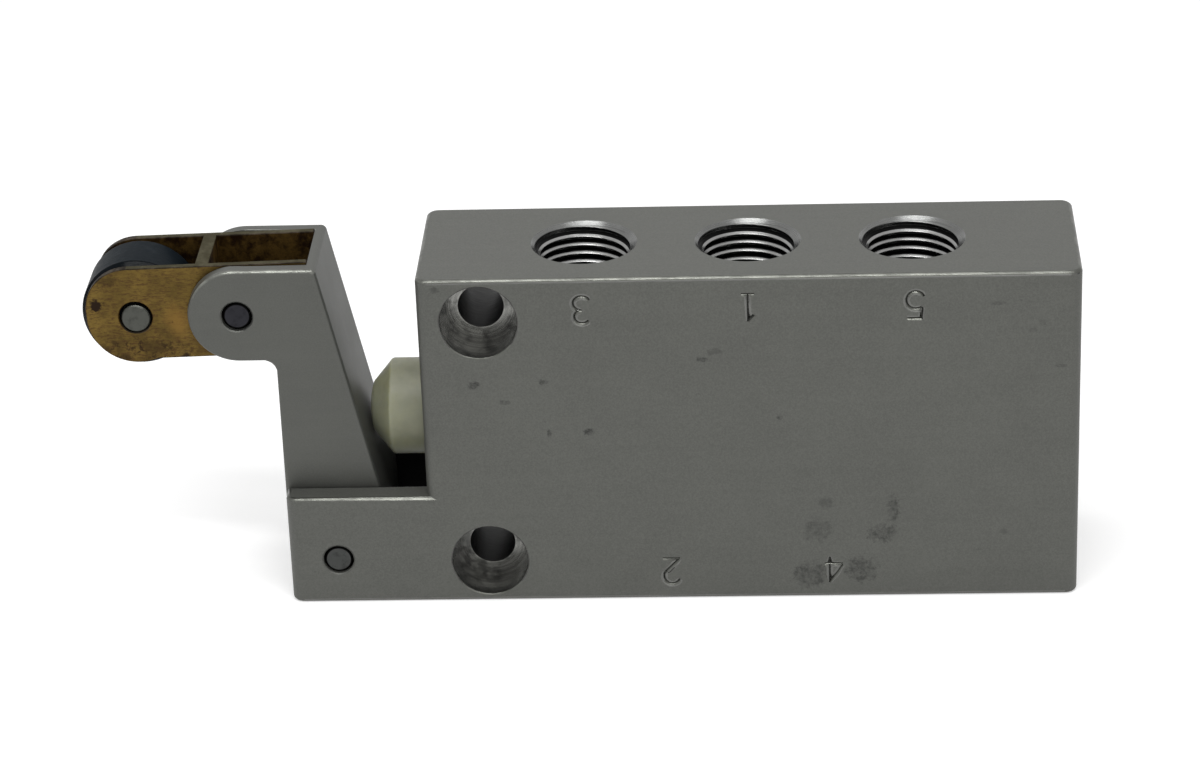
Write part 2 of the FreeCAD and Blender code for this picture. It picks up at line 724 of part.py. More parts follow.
def make_spool():
    """The spool at rest: lands over the seals it closes, necks under those it opens."""
    neck = "(sizes.neck_diameter / 2)"
    tail = "(sizes.tail_diameter / 2)"
    flange = "(sizes.flange_diameter / 2)"
    pocket = "(sizes.spring_radius + sizes.spring_wire / 2 + sizes.spring_play)"
    cover = f"({SEAL_HALF} + sizes.land_overlap)"
    socket_end = f"({PLUNGER_BACK} - sizes.socket_depth + sizes.socket_gap)"

    def land_start(seal):
        return f"({seal_at(seal)} - {cover})"

    def land_end(seal):
        return f"({seal_at(seal)} + {cover})"

    corners = [
        (socket_end, "0"),
        (f"({FLANGE_BACK} - sizes.spring_pocket)", "0"),
        (f"({FLANGE_BACK} - sizes.spring_pocket)", pocket),
        (FLANGE_BACK, pocket),
        (FLANGE_BACK, flange),
        (FLANGE_FRONT, flange),
        (FLANGE_FRONT, LAND_RADIUS),
        (f"({land_start(SEAL_COUNT)} - sizes.stroke)", LAND_RADIUS),
        (f"({land_start(SEAL_COUNT)} - sizes.stroke)", neck),
    ]
    for closed, opened in ((4, 5), (2, 3)):
        start = land_start(closed)
        end = f"({land_end(opened)} - sizes.stroke)"
        corners += [(end, neck), (end, LAND_RADIUS), (start, LAND_RADIUS), (start, neck)]
    corners += [
        (land_end(1), neck),
        (land_end(1), LAND_RADIUS),
        (PLUNGER_BACK, LAND_RADIUS),
        (PLUNGER_BACK, tail),
        (socket_end, tail),
    ]
    turned_along_x("spool", corners)


def make_bushes():
    """The two bushes at the ends of the stack; the rear one also holds the rest stop."""
    turned_along_x("front_bush", [
        ("0", LAND_BORE),
        ("sizes.bush_length", LAND_BORE),
        ("sizes.bush_length", STACK_OUTER),
        ("0", STACK_OUTER),
    ], STACK_FRONT)
    roomy = "(sizes.flange_diameter / 2 + sizes.flange_play)"
    turned_along_x("rear_bush", [
        (REAR_BUSH, LAND_BORE),
        (f"({REAR_BUSH} + sizes.rear_guide)", LAND_BORE),
        (f"({REAR_BUSH} + sizes.rear_guide)", roomy),
        (PLUG_FRONT, roomy),
        (PLUG_FRONT, STACK_OUTER),
        (REAR_BUSH, STACK_OUTER),
    ])


def make_seals():
    """Six seal rings, each with a rounded inner lip that runs on the spool's lands."""
    lip = f"({LAND_RADIUS} + sizes.seal_fit + sizes.seal_crown)"
    curve = f"(({SEAL_HALF} ^ 2 + sizes.seal_crown ^ 2) / (2 * sizes.seal_crown))"
    for number in range(1, SEAL_COUNT + 1):
        turned_along_x(f"seal_ring_{number}", [
            (f"(-{SEAL_HALF})", lip, curve),
            (SEAL_HALF, lip),
            (SEAL_HALF, STACK_OUTER),
            (f"(-{SEAL_HALF})", STACK_OUTER),
        ], seal_at(number))


def make_cages():
    """Five cages between the seals, each with a groove and radial holes at its port."""
    half = f"({HALF_PITCH} / 2 - {SEAL_HALF})"
    shoulder = f"({half} - sizes.cage_rim)"
    waist = f"({STACK_OUTER} - sizes.cage_groove)"
    bore = "(sizes.cage_bore / 2)"
    for number in range(1, CAGE_COUNT + 1):
        place = f"({FIRST_PORT} + {number - 1} * {HALF_PITCH})"
        body = turned_along_x(f"cage_{number}", [
            (f"(-{half})", bore),
            (half, bore),
            (half, STACK_OUTER),
            (shoulder, STACK_OUTER),
            (shoulder, waist),
            (f"(-{shoulder})", waist),
            (f"(-{shoulder})", STACK_OUTER),
            (f"(-{half})", STACK_OUTER),
        ], place)
        sketch = add_sketch(body, "hole", "XY_Plane", out=STACK_RADIUS)
        disc(sketch, "0", "0", "(sizes.cage_hole / 2)")
        hole = add_pocket(body, sketch, STACK_RADIUS)
        ring_of(body, hole, "holes", "X_Axis", round(size("sizes.cage_holes")))


def make_end_plug():
    """The plug that closes the bore, with its ring groove and a boss in the spring."""
    boss = "(sizes.spring_radius - sizes.spring_wire / 2 - sizes.spring_play)"
    middle = f"(({PLUG_FRONT} + {RING_FRONT}) / 2)"
    groove = f"({PLUG_GROOVE} / 2)"
    floor = f"({STACK_RADIUS} - sizes.oring_section - 2 * sizes.oring_fit)"
    turned_along_x("end_plug", [
        (f"({PLUG_FRONT} - sizes.plug_boss)", "0"),
        (RING_FRONT, "0"),
        (RING_FRONT, STACK_OUTER),
        (f"({middle} + {groove})", STACK_OUTER),
        (f"({middle} + {groove})", floor),
        (f"({middle} - {groove})", floor),
        (f"({middle} - {groove})", STACK_OUTER),
        (PLUG_FRONT, STACK_OUTER),
        (PLUG_FRONT, boss),
        (f"({PLUG_FRONT} - sizes.plug_boss)", boss),
    ])
    seal = doc.addObject("Part::Torus", "end_plug_seal")
    seal.Label = "end_plug_seal"
    section = "(sizes.oring_section / 2)"
    seal.setExpression("Radius1", f"{STACK_RADIUS} - sizes.oring_fit - {section}")
    seal.setExpression("Radius2", section)
    seal.Placement = FreeCAD.Placement(FreeCAD.Vector(), FreeCAD.Rotation(FreeCAD.Vector(0, 1, 0), 90))
    seal.setExpression("Placement.Base.x", middle)
    seal.setExpression("Placement.Base.y", MID_DEPTH)


def make_retaining_ring():
    """The internal circlip: a split ring with two eyed ends."""
    body = add_body("retaining_ring", f"({RING_FRONT} + sizes.ring_thickness / 2)")
    outer = f"({STACK_RADIUS} + sizes.ring_groove - sizes.stack_fit)"
    inner = f"({outer} - sizes.ring_width)"
    eye_across = "(sizes.ring_gap / 2 + sizes.ring_eye)"
    eye_radius = f"({outer} - sizes.ring_eye)"
    eye_up = f"(-sqrt({eye_radius} ^ 2 - {eye_across} ^ 2))"

    sketch = add_sketch(body, "ring", "YZ_Plane")
    disc(sketch, "0", "0", outer)
    disc(sketch, "0", "0", inner)
    add_pad(body, sketch, "sizes.ring_thickness")
    for name, across in (("front_eye", eye_across), ("back_eye", f"(-{eye_across})")):
        sketch = add_sketch(body, name, "YZ_Plane")
        disc(sketch, across, eye_up, "sizes.ring_eye")
        add_pad(body, sketch, "sizes.ring_thickness")
        sketch = add_sketch(body, f"{name}_hole", "YZ_Plane")
        disc(sketch, across, eye_up, "(sizes.eye_hole / 2)")
        add_pocket(body, sketch, "(sizes.ring_thickness + sizes.cut_margin)")

    sketch = add_sketch(body, "split", "YZ_Plane")
    half_gap = "(sizes.ring_gap / 2)"
    below = f"(-{outer} - sizes.cut_margin)"
    outline(sketch, [(f"(-{half_gap})", below), (half_gap, below), (half_gap, "0"), (f"(-{half_gap})", "0")])
    add_pocket(body, sketch, "(sizes.ring_thickness + sizes.cut_margin)")


def wound_wire(radius, wire, pitch, angle, leg_in=0.0, leg_out=0.0):
    """A wire wound about +Z from (radius, 0, 0), anticlockwise seen from above.

    Each half turn is a half circle, tilted to climb half the pitch, so neighbours
    meet in line. The legs leave straight on at the coil's two ends.
    """
    point = FreeCAD.Vector(radius, 0, 0)
    heading = FreeCAD.Vector(0, 1, 0)
    section = Part.Face(Part.Wire([Part.makeCircle(wire / 2, point, heading)]))
    pieces = []
    if leg_in > 0:
        pieces.append(section.extrude(heading * -leg_in))
    left = angle
    while left > ROUNDING:
        sweep = min(180.0, left)
        opposite = FreeCAD.Vector(-point.x, 0, point.z + pitch / 2)
        centre = (point + opposite) * 0.5
        normal = (point - centre).cross(heading).normalize()
        section = Part.Face(Part.Wire([Part.makeCircle(wire / 2, point, heading)]))
        pieces.append(section.revolve(centre, normal, sweep))
        turn = FreeCAD.Rotation(normal, sweep)
        point = centre + turn.multVec(point - centre)
        heading = turn.multVec(heading)
        left -= sweep
    if leg_out > 0:
        section = Part.Face(Part.Wire([Part.makeCircle(wire / 2, point, heading)]))
        pieces.append(section.extrude(heading * leg_out))
    return pieces[0].fuse(pieces[1:]).Solids[0]


def add_spring(name, shape, place, rotation):
    """A spring's own object, put in its place."""
    spring = doc.addObject("Part::Feature", name)
    spring.Label = name
    spring.Shape = shape
    spring.Placement = FreeCAD.Placement(place, rotation)


def make_return_spring():
    """The compression spring between the spool's pocket and the end plug."""
    start = size(f"{FLANGE_BACK} - sizes.spring_pocket + (sizes.spring_wire + sizes.spring_play) / 2")
    end = size(f"{PLUG_FRONT} - (sizes.spring_wire + sizes.spring_play) / 2")
    turns = size("sizes.spring_turns")
    shape = wound_wire(size("sizes.spring_radius"), size("sizes.spring_wire"),
                       (end - start) / turns, 360.0 * turns)
    place = FreeCAD.Vector(start, size(MID_DEPTH), 0)
    add_spring("return_spring", shape, place, FreeCAD.Rotation(FreeCAD.Vector(0, 1, 0), 90))


def make_link_spring():
    """The torsion spring round the link's pin.

    Its front leg lies along the web and its back leg reaches into the lower corner
    of the lever's fork. Seen from the front, the wire runs clockwise to the back.
    """
    radius = size(COIL_RADIUS)
    wire = size("sizes.torsion_wire")
    pitch = size("sizes.torsion_pitch")
    leg = size("sizes.link_half_height - sizes.torsion_wire")
    corner_x = size("sizes.fork_run - sizes.torsion_wire / 2 - sizes.torsion_leg_gap")
    corner_z = size("sizes.torsion_wire / 2 + sizes.torsion_leg_gap"
                    " - sizes.arm_radius - sizes.neck_fillet - sizes.fork_floor_gap")
    reach = math.hypot(corner_x, corner_z)
    leave = math.atan2(corner_z, corner_x) + math.acos(radius / reach)
    angle = math.degrees(math.pi - leave) + 360.0 * size("sizes.torsion_turns")
    back_leg = math.sqrt(reach ** 2 - radius ** 2)
    shape = wound_wire(radius, wire, pitch, angle, leg, back_leg)
    rise = pitch * angle / 360.0
    upright = FreeCAD.Rotation(FreeCAD.Vector(1, 0, 0), -90)
    turned = FreeCAD.Rotation(FreeCAD.Vector(0, 1, 0), 180)
    place = FreeCAD.Vector(size(LINK_X), size(MID_DEPTH) - rise / 2, size(LINK_Z))
    add_spring("link_spring", shape, place, turned.multiply(upright))


def write_parts():
    """Check every object, then write each sub-part to its own file."""
    doc.recompute()
    for item in doc.Objects:
        if {"Invalid", "Error"} & set(item.State):
            raise RuntimeError(f"{item.Name} failed: {item.State}")
    pieces = [item for item in doc.Objects
              if item.isDerivedFrom("Part::Feature") and item.getParentGeoFeatureGroup() is None]
    for piece in pieces:
        shape = piece.Shape
        if shape.isNull() or not shape.isValid() or not shape.Solids:
            raise RuntimeError(f"{piece.Label} has no valid solid")
    os.makedirs("parts", exist_ok=True)
    for piece in pieces:
        piece.Shape.exportStep(os.path.join("parts", f"{piece.Label}.step"))
        print(piece.Label, len(piece.Shape.Solids), round(piece.Shape.Volume, 2))


make_block()
make_pin("lever_pivot_pin", "(sizes.block_depth - 2 * sizes.pin_recess)", PIVOT_X, PIVOT_Z)
make_lever()
make_pin("link_pivot_pin", f"({LEVER_THICKNESS} - 2 * sizes.pin_recess)", LINK_X, LINK_Z)
make_link()
make_link_spring()
make_axle()
make_roller()
make_plunger()
make_spool()
make_bushes()
make_seals()
make_cages()
make_end_plug()
make_retaining_ring()
make_return_spring()
write_parts()
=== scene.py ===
"""Stem operated air valve.

Gives every piece its finish, adds the port threads and stamped numbers, and sets the stage.
"""

import json
import math
from contextlib import contextmanager

import bmesh
import bpy
from bpy.props import FloatProperty, FloatVectorProperty, IntProperty, PointerProperty
from mathutils import Matrix, Vector


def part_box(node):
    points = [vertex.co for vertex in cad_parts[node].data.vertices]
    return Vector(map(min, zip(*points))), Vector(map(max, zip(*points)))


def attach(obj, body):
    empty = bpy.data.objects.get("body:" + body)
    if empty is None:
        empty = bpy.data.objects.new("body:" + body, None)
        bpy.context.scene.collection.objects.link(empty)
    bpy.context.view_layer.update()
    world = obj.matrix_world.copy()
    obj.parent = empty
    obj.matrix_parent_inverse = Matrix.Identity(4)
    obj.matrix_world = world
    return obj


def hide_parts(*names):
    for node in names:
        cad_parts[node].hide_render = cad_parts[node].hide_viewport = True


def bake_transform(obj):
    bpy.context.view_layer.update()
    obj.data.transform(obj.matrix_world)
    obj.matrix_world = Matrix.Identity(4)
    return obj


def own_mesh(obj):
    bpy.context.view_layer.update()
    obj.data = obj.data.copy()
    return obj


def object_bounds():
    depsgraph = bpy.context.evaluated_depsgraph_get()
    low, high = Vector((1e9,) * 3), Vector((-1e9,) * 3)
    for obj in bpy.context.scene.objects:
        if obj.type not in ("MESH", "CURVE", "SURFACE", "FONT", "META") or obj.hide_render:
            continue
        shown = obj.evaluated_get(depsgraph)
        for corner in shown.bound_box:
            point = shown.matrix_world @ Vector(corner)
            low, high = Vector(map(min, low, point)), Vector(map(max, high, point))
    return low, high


bl_info = {
    "name": "Stem Operated Air Valve",
    "version": (1, 0, 0),
    "blender": (4, 5, 0),
    "location": "View3D > Sidebar > Air Valve",
    "description": "Finishes the packed air valve and sets it on a plain stage",
    "category": "Object",
}

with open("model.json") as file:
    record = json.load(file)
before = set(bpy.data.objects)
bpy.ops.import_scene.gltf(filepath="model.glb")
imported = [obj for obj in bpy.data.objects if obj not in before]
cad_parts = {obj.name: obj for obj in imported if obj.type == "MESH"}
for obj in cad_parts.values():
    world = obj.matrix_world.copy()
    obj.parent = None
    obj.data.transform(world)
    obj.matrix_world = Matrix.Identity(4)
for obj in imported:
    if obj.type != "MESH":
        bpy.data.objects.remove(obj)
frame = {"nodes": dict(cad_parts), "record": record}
CAD_BOX = [list(corner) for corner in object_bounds()]
BLOCK_LOW, BLOCK_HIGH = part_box("valve_body")
BLOCK_MIDDLE = (BLOCK_LOW + BLOCK_HIGH) / 2
PORTS = {mount["name"]: mount for mount in frame["record"]["mounts"]
         if mount["name"].startswith("port_")}

MM = 0.001

# Points closer than this are one point, and a surface this near a face lies on it.
WELD = 1e-7
SKIN = 0.004 * MM

# Where the solids have surfaces that get a finish of their own.
BLOCK_FACE_X = -6.0 * MM
CLEVIS_TOP_Z = -5.9 * MM
BORE_Y = -8.75 * MM
BORE_REACH = 6.6 * MM
HOLE_HEIGHT = 13.0 * MM
HOLE_REACH = 3.85 * MM
HOLE_SINK = 4.1 * MM
SLOT_HALF = 6.1 * MM
SLOT_DEPTH = 1.0 * MM
PIN_RING = 2.2 * MM
FORK_CHEEK = 1.4 * MM
LINK_CHEEK = 1.0 * MM
BLOCK_PLANES = [(0, BLOCK_LOW.x), (0, BLOCK_FACE_X), (0, BLOCK_HIGH.x),
                (1, BLOCK_LOW.y), (1, BLOCK_HIGH.y),
                (2, BLOCK_LOW.z), (2, CLEVIS_TOP_Z), (2, BLOCK_HIGH.z)]

# Which edges are rounded and shaded hard, and how their chamfers lean.
HARD_ANGLE = math.radians(25)
FLAT_ANGLE = math.radians(0.4)
SMOOTH_ANGLE = math.radians(32)
EDGE_BREAK = 0.25 * MM
LONG_EDGE = 1.0 * MM
BREAK_SLANT = (0.5, 0.85)
CHAMFER_SLANT = (0.6, 0.8)
ROLLER_SLANT = (0.1, 0.98)
UPWARD = 0.25
PIN_FLAT = 0.95
CROWN_STEPS = 6

# How deep the stamped grooves are, and how far from the right end their finish stops.
STAMP_LIFT = 0.03 * MM
STAMP_DEEP = 0.2 * MM
STAMP_MARGIN = 2.0 * MM

# The port threads: share of a pitch cut away at the mouth, and clearances.
THREAD_LEAD = 0.3
THREAD_SINK = 0.03 * MM
ROOT_GAP = 0.02 * MM
MOUTH_SINK = 0.01 * MM

PHOTO_WIDTH = 1200
SENSOR_WIDTH = 36.0
NEAREST_SEEN = 0.01


# Property groups: the sizes and colours that a user would change.


def colour_setting(name, thing, default):
    """The colour of a thing, in the sidebar."""
    return FloatVectorProperty(name=name, description=f"Colour of the {thing}", subtype="COLOR",
                               size=3, min=0, max=1, default=default)


def length_setting(name, description, millimetres):
    """A length in the sidebar, with its default in millimetres."""
    return FloatProperty(name=name, description=description, unit="LENGTH",
                         default=millimetres * MM)


def angle_setting(name, description, degrees):
    """An angle in the sidebar, with its default in degrees."""
    return FloatProperty(name=name, description=description, unit="ROTATION",
                         default=math.radians(degrees))


class BlockFinish(bpy.types.PropertyGroup):
    """Looks of the valve block."""

    colour: colour_setting("Colour", "anodised faces", (0.0925, 0.0945, 0.0850))
    bored: colour_setting("Bored colour", "drilled and bored surfaces", (0.17, 0.17, 0.16))
    # Painted shade: the screw holes' depths and the clevis slot are near black, where shade falls.
    drilled: colour_setting("Drilled colour", "depths of the screw holes", (0.026, 0.026, 0.025))
    slot_shade: colour_setting("Slot colour", "greasy slot in the clevis", (0.010, 0.010, 0.010))
    stamped: colour_setting(
        "Stamped colour", "burnished grooves of the numbers", (0.15, 0.151, 0.143))
    edge: length_setting("Edge", "Radius worn onto the machined edges", 0.15)
    number_height: length_setting("Number height", "Height of the stamped port numbers", 2.85)
    number_width: length_setting("Number width", "Width of the stamped port numbers", 1.8)
    number_stroke: length_setting("Number stroke", "Radius of the stamping tool's stroke", 0.21)
    number_top: length_setting(
        "Upper numbers", "Distance of the upper numbers from the top face", 3.3)
    number_bottom: length_setting(
        "Lower numbers", "Distance of the lower numbers from the bottom face", 3.05)


class ThreadSizes(bpy.types.PropertyGroup):
    """Sizes of the pipe thread in each port."""

    pitch: length_setting("Pitch", "Distance from one crest to the next", 0.907)
    crest: length_setting("Crest radius", "Radius of the thread's crests", 4.283)
    crest_flat: length_setting(
        "Crest width", "Width of the flat that the drill leaves on each crest", 0.05)
    crest_slope: length_setting(
        "Crest slope", "Width of the slope rubbed onto each crest's outer side", 0.20)
    rim: length_setting("Rim radius", "Outer radius of the countersink at the mouth", 5.2)
    run_out: length_setting("Run-out", "Length at the bottom of the port without thread", 0.5)
    segments: IntProperty(
        name="Segments", description="Steps in one turn of the thread", min=12, default=64)
    # Painted light: the crest colour is a lit copy of the thread's metal, a painted highlight, and
    # the root colour a shaded copy of it, painted shade.
    colour: colour_setting("Crest colour", "thread's crests", (0.30, 0.30, 0.295))
    root: colour_setting("Root colour", "thread's oily roots", (0.006, 0.006, 0.006))
    mouth: colour_setting("Mouth colour", "countersink and drilled port", (0.175, 0.177, 0.173))


class LeverFinish(bpy.types.PropertyGroup):
    """Looks of the trip lever, its link, roller and pins."""

    colour: colour_setting("Lever colour", "lever", (0.0860, 0.0880, 0.0795))
    edge: length_setting("Edge", "Radius worn onto the edges", 0.09)
    crown: length_setting("Crown", "Width rounded off the lever's top right corner", 0.35)
    brass: colour_setting("Brass colour", "link's clean brass", (0.108, 0.0695, 0.0155))
    soiled: colour_setting("Soiled colour", "link's soiled inner faces", (0.090, 0.052, 0.013))
    rim: colour_setting("Rim colour", "link's dark rims", (0.062, 0.048, 0.034))
    web: colour_setting("Web colour", "web between the link's cheeks", (0.075, 0.066, 0.036))
    tarnish: colour_setting("Tarnish colour", "link's stains", (0.014, 0.0062, 0.0025))
    roller: colour_setting("Roller colour", "roller", (0.006, 0.009, 0.012))
    pin: colour_setting("Pin colour", "dark pins", (0.026, 0.026, 0.030))
    # Painted shade: near black on the pins' rims and sides, for the shade in the gap round each
    # pin.
    pin_shade: colour_setting(
        "Pin rim colour", "oily rims and sides of the pins", (0.006, 0.006, 0.006))
    pivot: colour_setting("Pivot pin colour", "pin through the clevis", (0.056, 0.058, 0.056))
    axle: colour_setting("Roller pin colour", "roller's pin", (0.072, 0.074, 0.066))


class PlungerFinish(bpy.types.PropertyGroup):
    """Looks of the plunger and of the pieces inside the bore."""

    colour: colour_setting("Plunger colour", "nylon", (0.235, 0.240, 0.165))
    edge: length_setting("Edge", "Radius on the plunger's corners", 0.3)
    rubber: colour_setting("Rubber colour", "seals", (0.012, 0.012, 0.013))
    steel: colour_setting("Steel colour", "spool and springs", (0.42, 0.42, 0.42))
    bush: colour_setting("Bush colour", "brass bushes", (0.46, 0.32, 0.13))
    cage: colour_setting("Cage colour", "moulded cages", (0.10, 0.10, 0.11))
    plug: colour_setting("Plug colour", "end plug", (0.36, 0.36, 0.35))


class StageSettings(bpy.types.PropertyGroup):
    """Floor, lamps and camera."""

    azimuth: angle_setting("Azimuth", "Camera's angle round the valve", 3.14)
    elevation: angle_setting("Elevation", "Camera's angle above the floor", 25.93)
    roll: angle_setting("Roll", "Camera's tilt about its own axis", -2.18)
    distance: length_setting("Distance", "Camera's distance from its aim", 390.5)
    aim: FloatVectorProperty(
        name="Aim", description="Point that the camera looks at", subtype="TRANSLATION",
        unit="LENGTH", size=3, default=(11.54 * MM, -17.5 * MM, 6.36 * MM))
    focal_pixels: FloatProperty(
        name="Focal length", description="Focal length in pixels of the photograph", default=4028.6)
    floor_size: FloatProperty(
        name="Floor size", description="Length of the floor's sides", unit="LENGTH", default=6.0)
    floor_colour: colour_setting("Floor colour", "floor", (0.80, 0.80, 0.80))
    floor_lift: FloatProperty(
        name="Floor lift", description="Light that the floor adds for what is seen", default=0.40)
    world_strength: FloatProperty(
        name="World strength", description="Strength of the even light from all round",
        default=0.45)


class AirValveSettings(bpy.types.PropertyGroup):
    """All of the valve's settings."""

    block: PointerProperty(type=BlockFinish)
    thread: PointerProperty(type=ThreadSizes)
    lever: PointerProperty(type=LeverFinish)
    plunger: PointerProperty(type=PlungerFinish)
    stage: PointerProperty(type=StageSettings)


# Material slots: of the block, whose first three are also the lever's, then of the threads,
# link, roller and pins.
# Painted light: the edge slot's lighter colour stays only on edges that face up, a painted
# highlight on top of real rubbing, and the low edge slot is painted shade on edges that face right.
SATIN, EDGE_WEAR_AND_HIGHLIGHT, EDGE_PAINTED_SHADE, PORT, BORED, HOLE_SHADE, SHADED_SLOT, STAMPED = range(8)
# The thread's crest and root slots are a lit and a shaded copy of one metal: painted highlight and
# painted shade.
LIT_CREST, SHADED_ROOT, MOUTH = range(3)
BRASS, SOILED, RIM, WEB = range(4)
TREAD, BEVEL = range(2)
# The pins' side slot is painted shade round the pin ends.
PIN_END, PIN_SHADED_SIDE = range(2)


# Materials.

# Dust on dark plastic, and the bloom on rubber.
DUST = (0.09, 0.11, 0.13, 1.0)
BLOOM = (0.09, 0.09, 0.09, 1.0)


def new_material(name):
    """An empty node material, and its tree."""
    material = bpy.data.materials.new(name)
    material.use_nodes = True
    return material, material.node_tree


def add_node(tree, kind, inputs=None, **settings):
    """One shader node, with its inputs set to values or linked to sockets."""
    node = tree.nodes.new("ShaderNode" + kind)
    for key, value in settings.items():
        setattr(node, key, value)
    for key, value in (inputs or {}).items():
        fill(tree, node.inputs[key], value)
    return node


def fill(tree, socket, value):
    """Set a socket to a value, or link another socket to it."""
    if isinstance(value, bpy.types.NodeSocket):
        tree.links.new(value, socket)
    else:
        socket.default_value = value


def rgba(colour, share=1.0):
    """A colour, darkened or lightened, with full alpha."""
    return (*[min(1.0, channel * share) for channel in colour], 1.0)


def place_in_mm(tree, scale=(1.0, 1.0, 1.0)):
    """The surface point in millimetres, stretched by scale."""
    coords = add_node(tree, "TexCoord")
    stretch = tuple(factor / MM for factor in scale)
    mapping = add_node(tree, "Mapping", {
        "Vector": coords.outputs["Object"], "Scale": stretch})
    return mapping.outputs["Vector"]


def noise(tree, place, scale, detail=3.0, roughness=0.55):
    """Noise from 0 to 1 whose lumps are about 1 / scale millimetres."""
    node = add_node(tree, "TexNoise", {
        "Vector": place, "Scale": scale, "Detail": detail, "Roughness": roughness})
    return node.outputs["Fac"]


def span(tree, value, low, high, to_low=0.0, to_high=1.0, smooth=False):
    """value moved from the range low to high into another range, held at its ends."""
    node = add_node(tree, "MapRange", {
        "Value": value, "From Min": low, "From Max": high, "To Min": to_low, "To Max": to_high})
    node.interpolation_type = "SMOOTHSTEP" if smooth else "LINEAR"
    return node.outputs["Result"]


def maths(tree, operation, first, second=0.0):
    """One sum of two values or sockets."""
    node = add_node(tree, "Math", {0: first, 1: second}, operation=operation)
    return node.outputs["Value"]


def vector_maths(tree, operation, inputs, output="Vector"):
    """One sum of vectors, given by the place of each input."""
    node = add_node(tree, "VectorMath", inputs, operation=operation)
    return node.outputs[output]


def mix(tree, share, first, second):
    """A colour between first and second; 6, 7 and 2 are the node's colour sockets."""
    node = add_node(tree, "Mix", {"Factor": share, 6: first, 7: second}, data_type="RGBA")
    return node.outputs[2]


def finish(material, colour, metallic, roughness, relief=None, **others):
    """The material with its surface shader filled; an underscore in a key stands for a space.

    relief is a bump: its height from 0 to 1, full height in millimetres, and strength.
    """
    tree = material.node_tree
    shader = tree.nodes["Principled BSDF"]
    if relief:
        bump = add_node(tree, "Bump", {
            "Height": relief[0], "Distance": relief[1] * MM, "Strength": relief[2]})
        others["Normal"] = bump.outputs["Normal"]
    inputs = {"Base Color": colour, "Metallic": metallic, "Roughness": roughness, **others}
    for key, value in inputs.items():
        fill(tree, shader.inputs[key.replace("_", " ")], value)
    return material


# How far a mark reaches into the piece, in millimetres, and out to the side, in half sizes.
MARK_DEPTH = 2.0
MARK_REACH = 1.05


def smudge(tree, place, centre, half, front, edge_noise, soft=0.45):
    """A ragged mark on the face at y = front: 1 in its middle, 0 outside; sizes in millimetres."""
    apart = vector_maths(tree, "SUBTRACT", {0: place, 1: (centre[0], front, centre[1])})
    scaled = vector_maths(tree, "MULTIPLY", {
        0: apart, 1: (1 / half[0], 1 / MARK_DEPTH, 1 / half[1])})
    length = vector_maths(tree, "LENGTH", {0: scaled}, "Value")
    ragged = maths(tree, "ADD", length, edge_noise)
    return span(tree, ragged, MARK_REACH - soft, MARK_REACH, 1.0, 0.0, smooth=True)


# Marks on the block's front face: centre (x, z), half size and strength, in millimetres.
BLOCK_MARKS = [
    ((-4.1, 16.5), (0.5, 0.4), 0.5),
    ((-0.7, 6.3), (0.65, 0.45), 1.0),
    ((2.2, 4.4), (0.6, 0.3), 0.6),
    ((6.0, 6.6), (0.5, 0.3), 1.0),
    ((10.3, 1.1), (0.6, 0.4), 0.9),
    ((6.4, 1.0), (0.3, 0.45), 0.8),
    ((21.5, 8.8), (0.6, 0.3), 0.9),
    ((22.7, 9.6), (0.8, 0.4), 0.4),
    ((28.9, 2.4), (0.4, 0.3), 0.9),
    ((33.3, -7.0), (0.8, 0.7), 0.5),
    ((32.4, -10.0), (1.5, 1.5), 0.5),
    ((39.9, -7.8), (0.7, 1.7), 0.7),
    ((38.9, -10.4), (1.7, 1.1), 0.75),
    ((31.7, -15.0), (1.9, 1.5), 0.7),
    ((36.7, -14.5), (1.7, 1.6), 0.75),
    ((50.0, 14.3), (0.9, 0.25), 0.5),
    ((54.2, 12.2), (0.5, 0.35), 0.4),
    ((53.3, 11.4), (0.4, 0.3), 0.5),
    ((56.0, 7.6), (0.6, 0.25), 0.6),
    ((50.7, -10.4), (0.4, 0.4), 0.3),
]

# Stains on the link's front cheek, the same way, with places measured from the roller's axis.
LINK_STAINS = [
    ((-3.8, 1.45), (0.75, 0.75), 1.0),
    ((4.7, -4.15), (0.45, 0.45), 0.9),
    ((-3.3, -3.3), (0.6, 0.6), 0.5),
    ((-1.5, -4.2), (0.9, 0.5), 0.6),
    ((1.6, -3.0), (1.4, 0.9), 0.45),
    ((-2.6, 4.0), (1.4, 0.6), 0.4),
]

# Centre and half size of two parts of that cheek, measured from there too: a lighter golden patch
# near the lever, and the pitted lower part.
BRASS_GOLDEN_PATCH = ((4.0, -0.3), (1.6, 2.6))
BRASS_PITS = ((0.5, -3.7), (7.0, 2.6))
BRASS_GOLD = (0.18, 0.10, 0.022, 1.0)


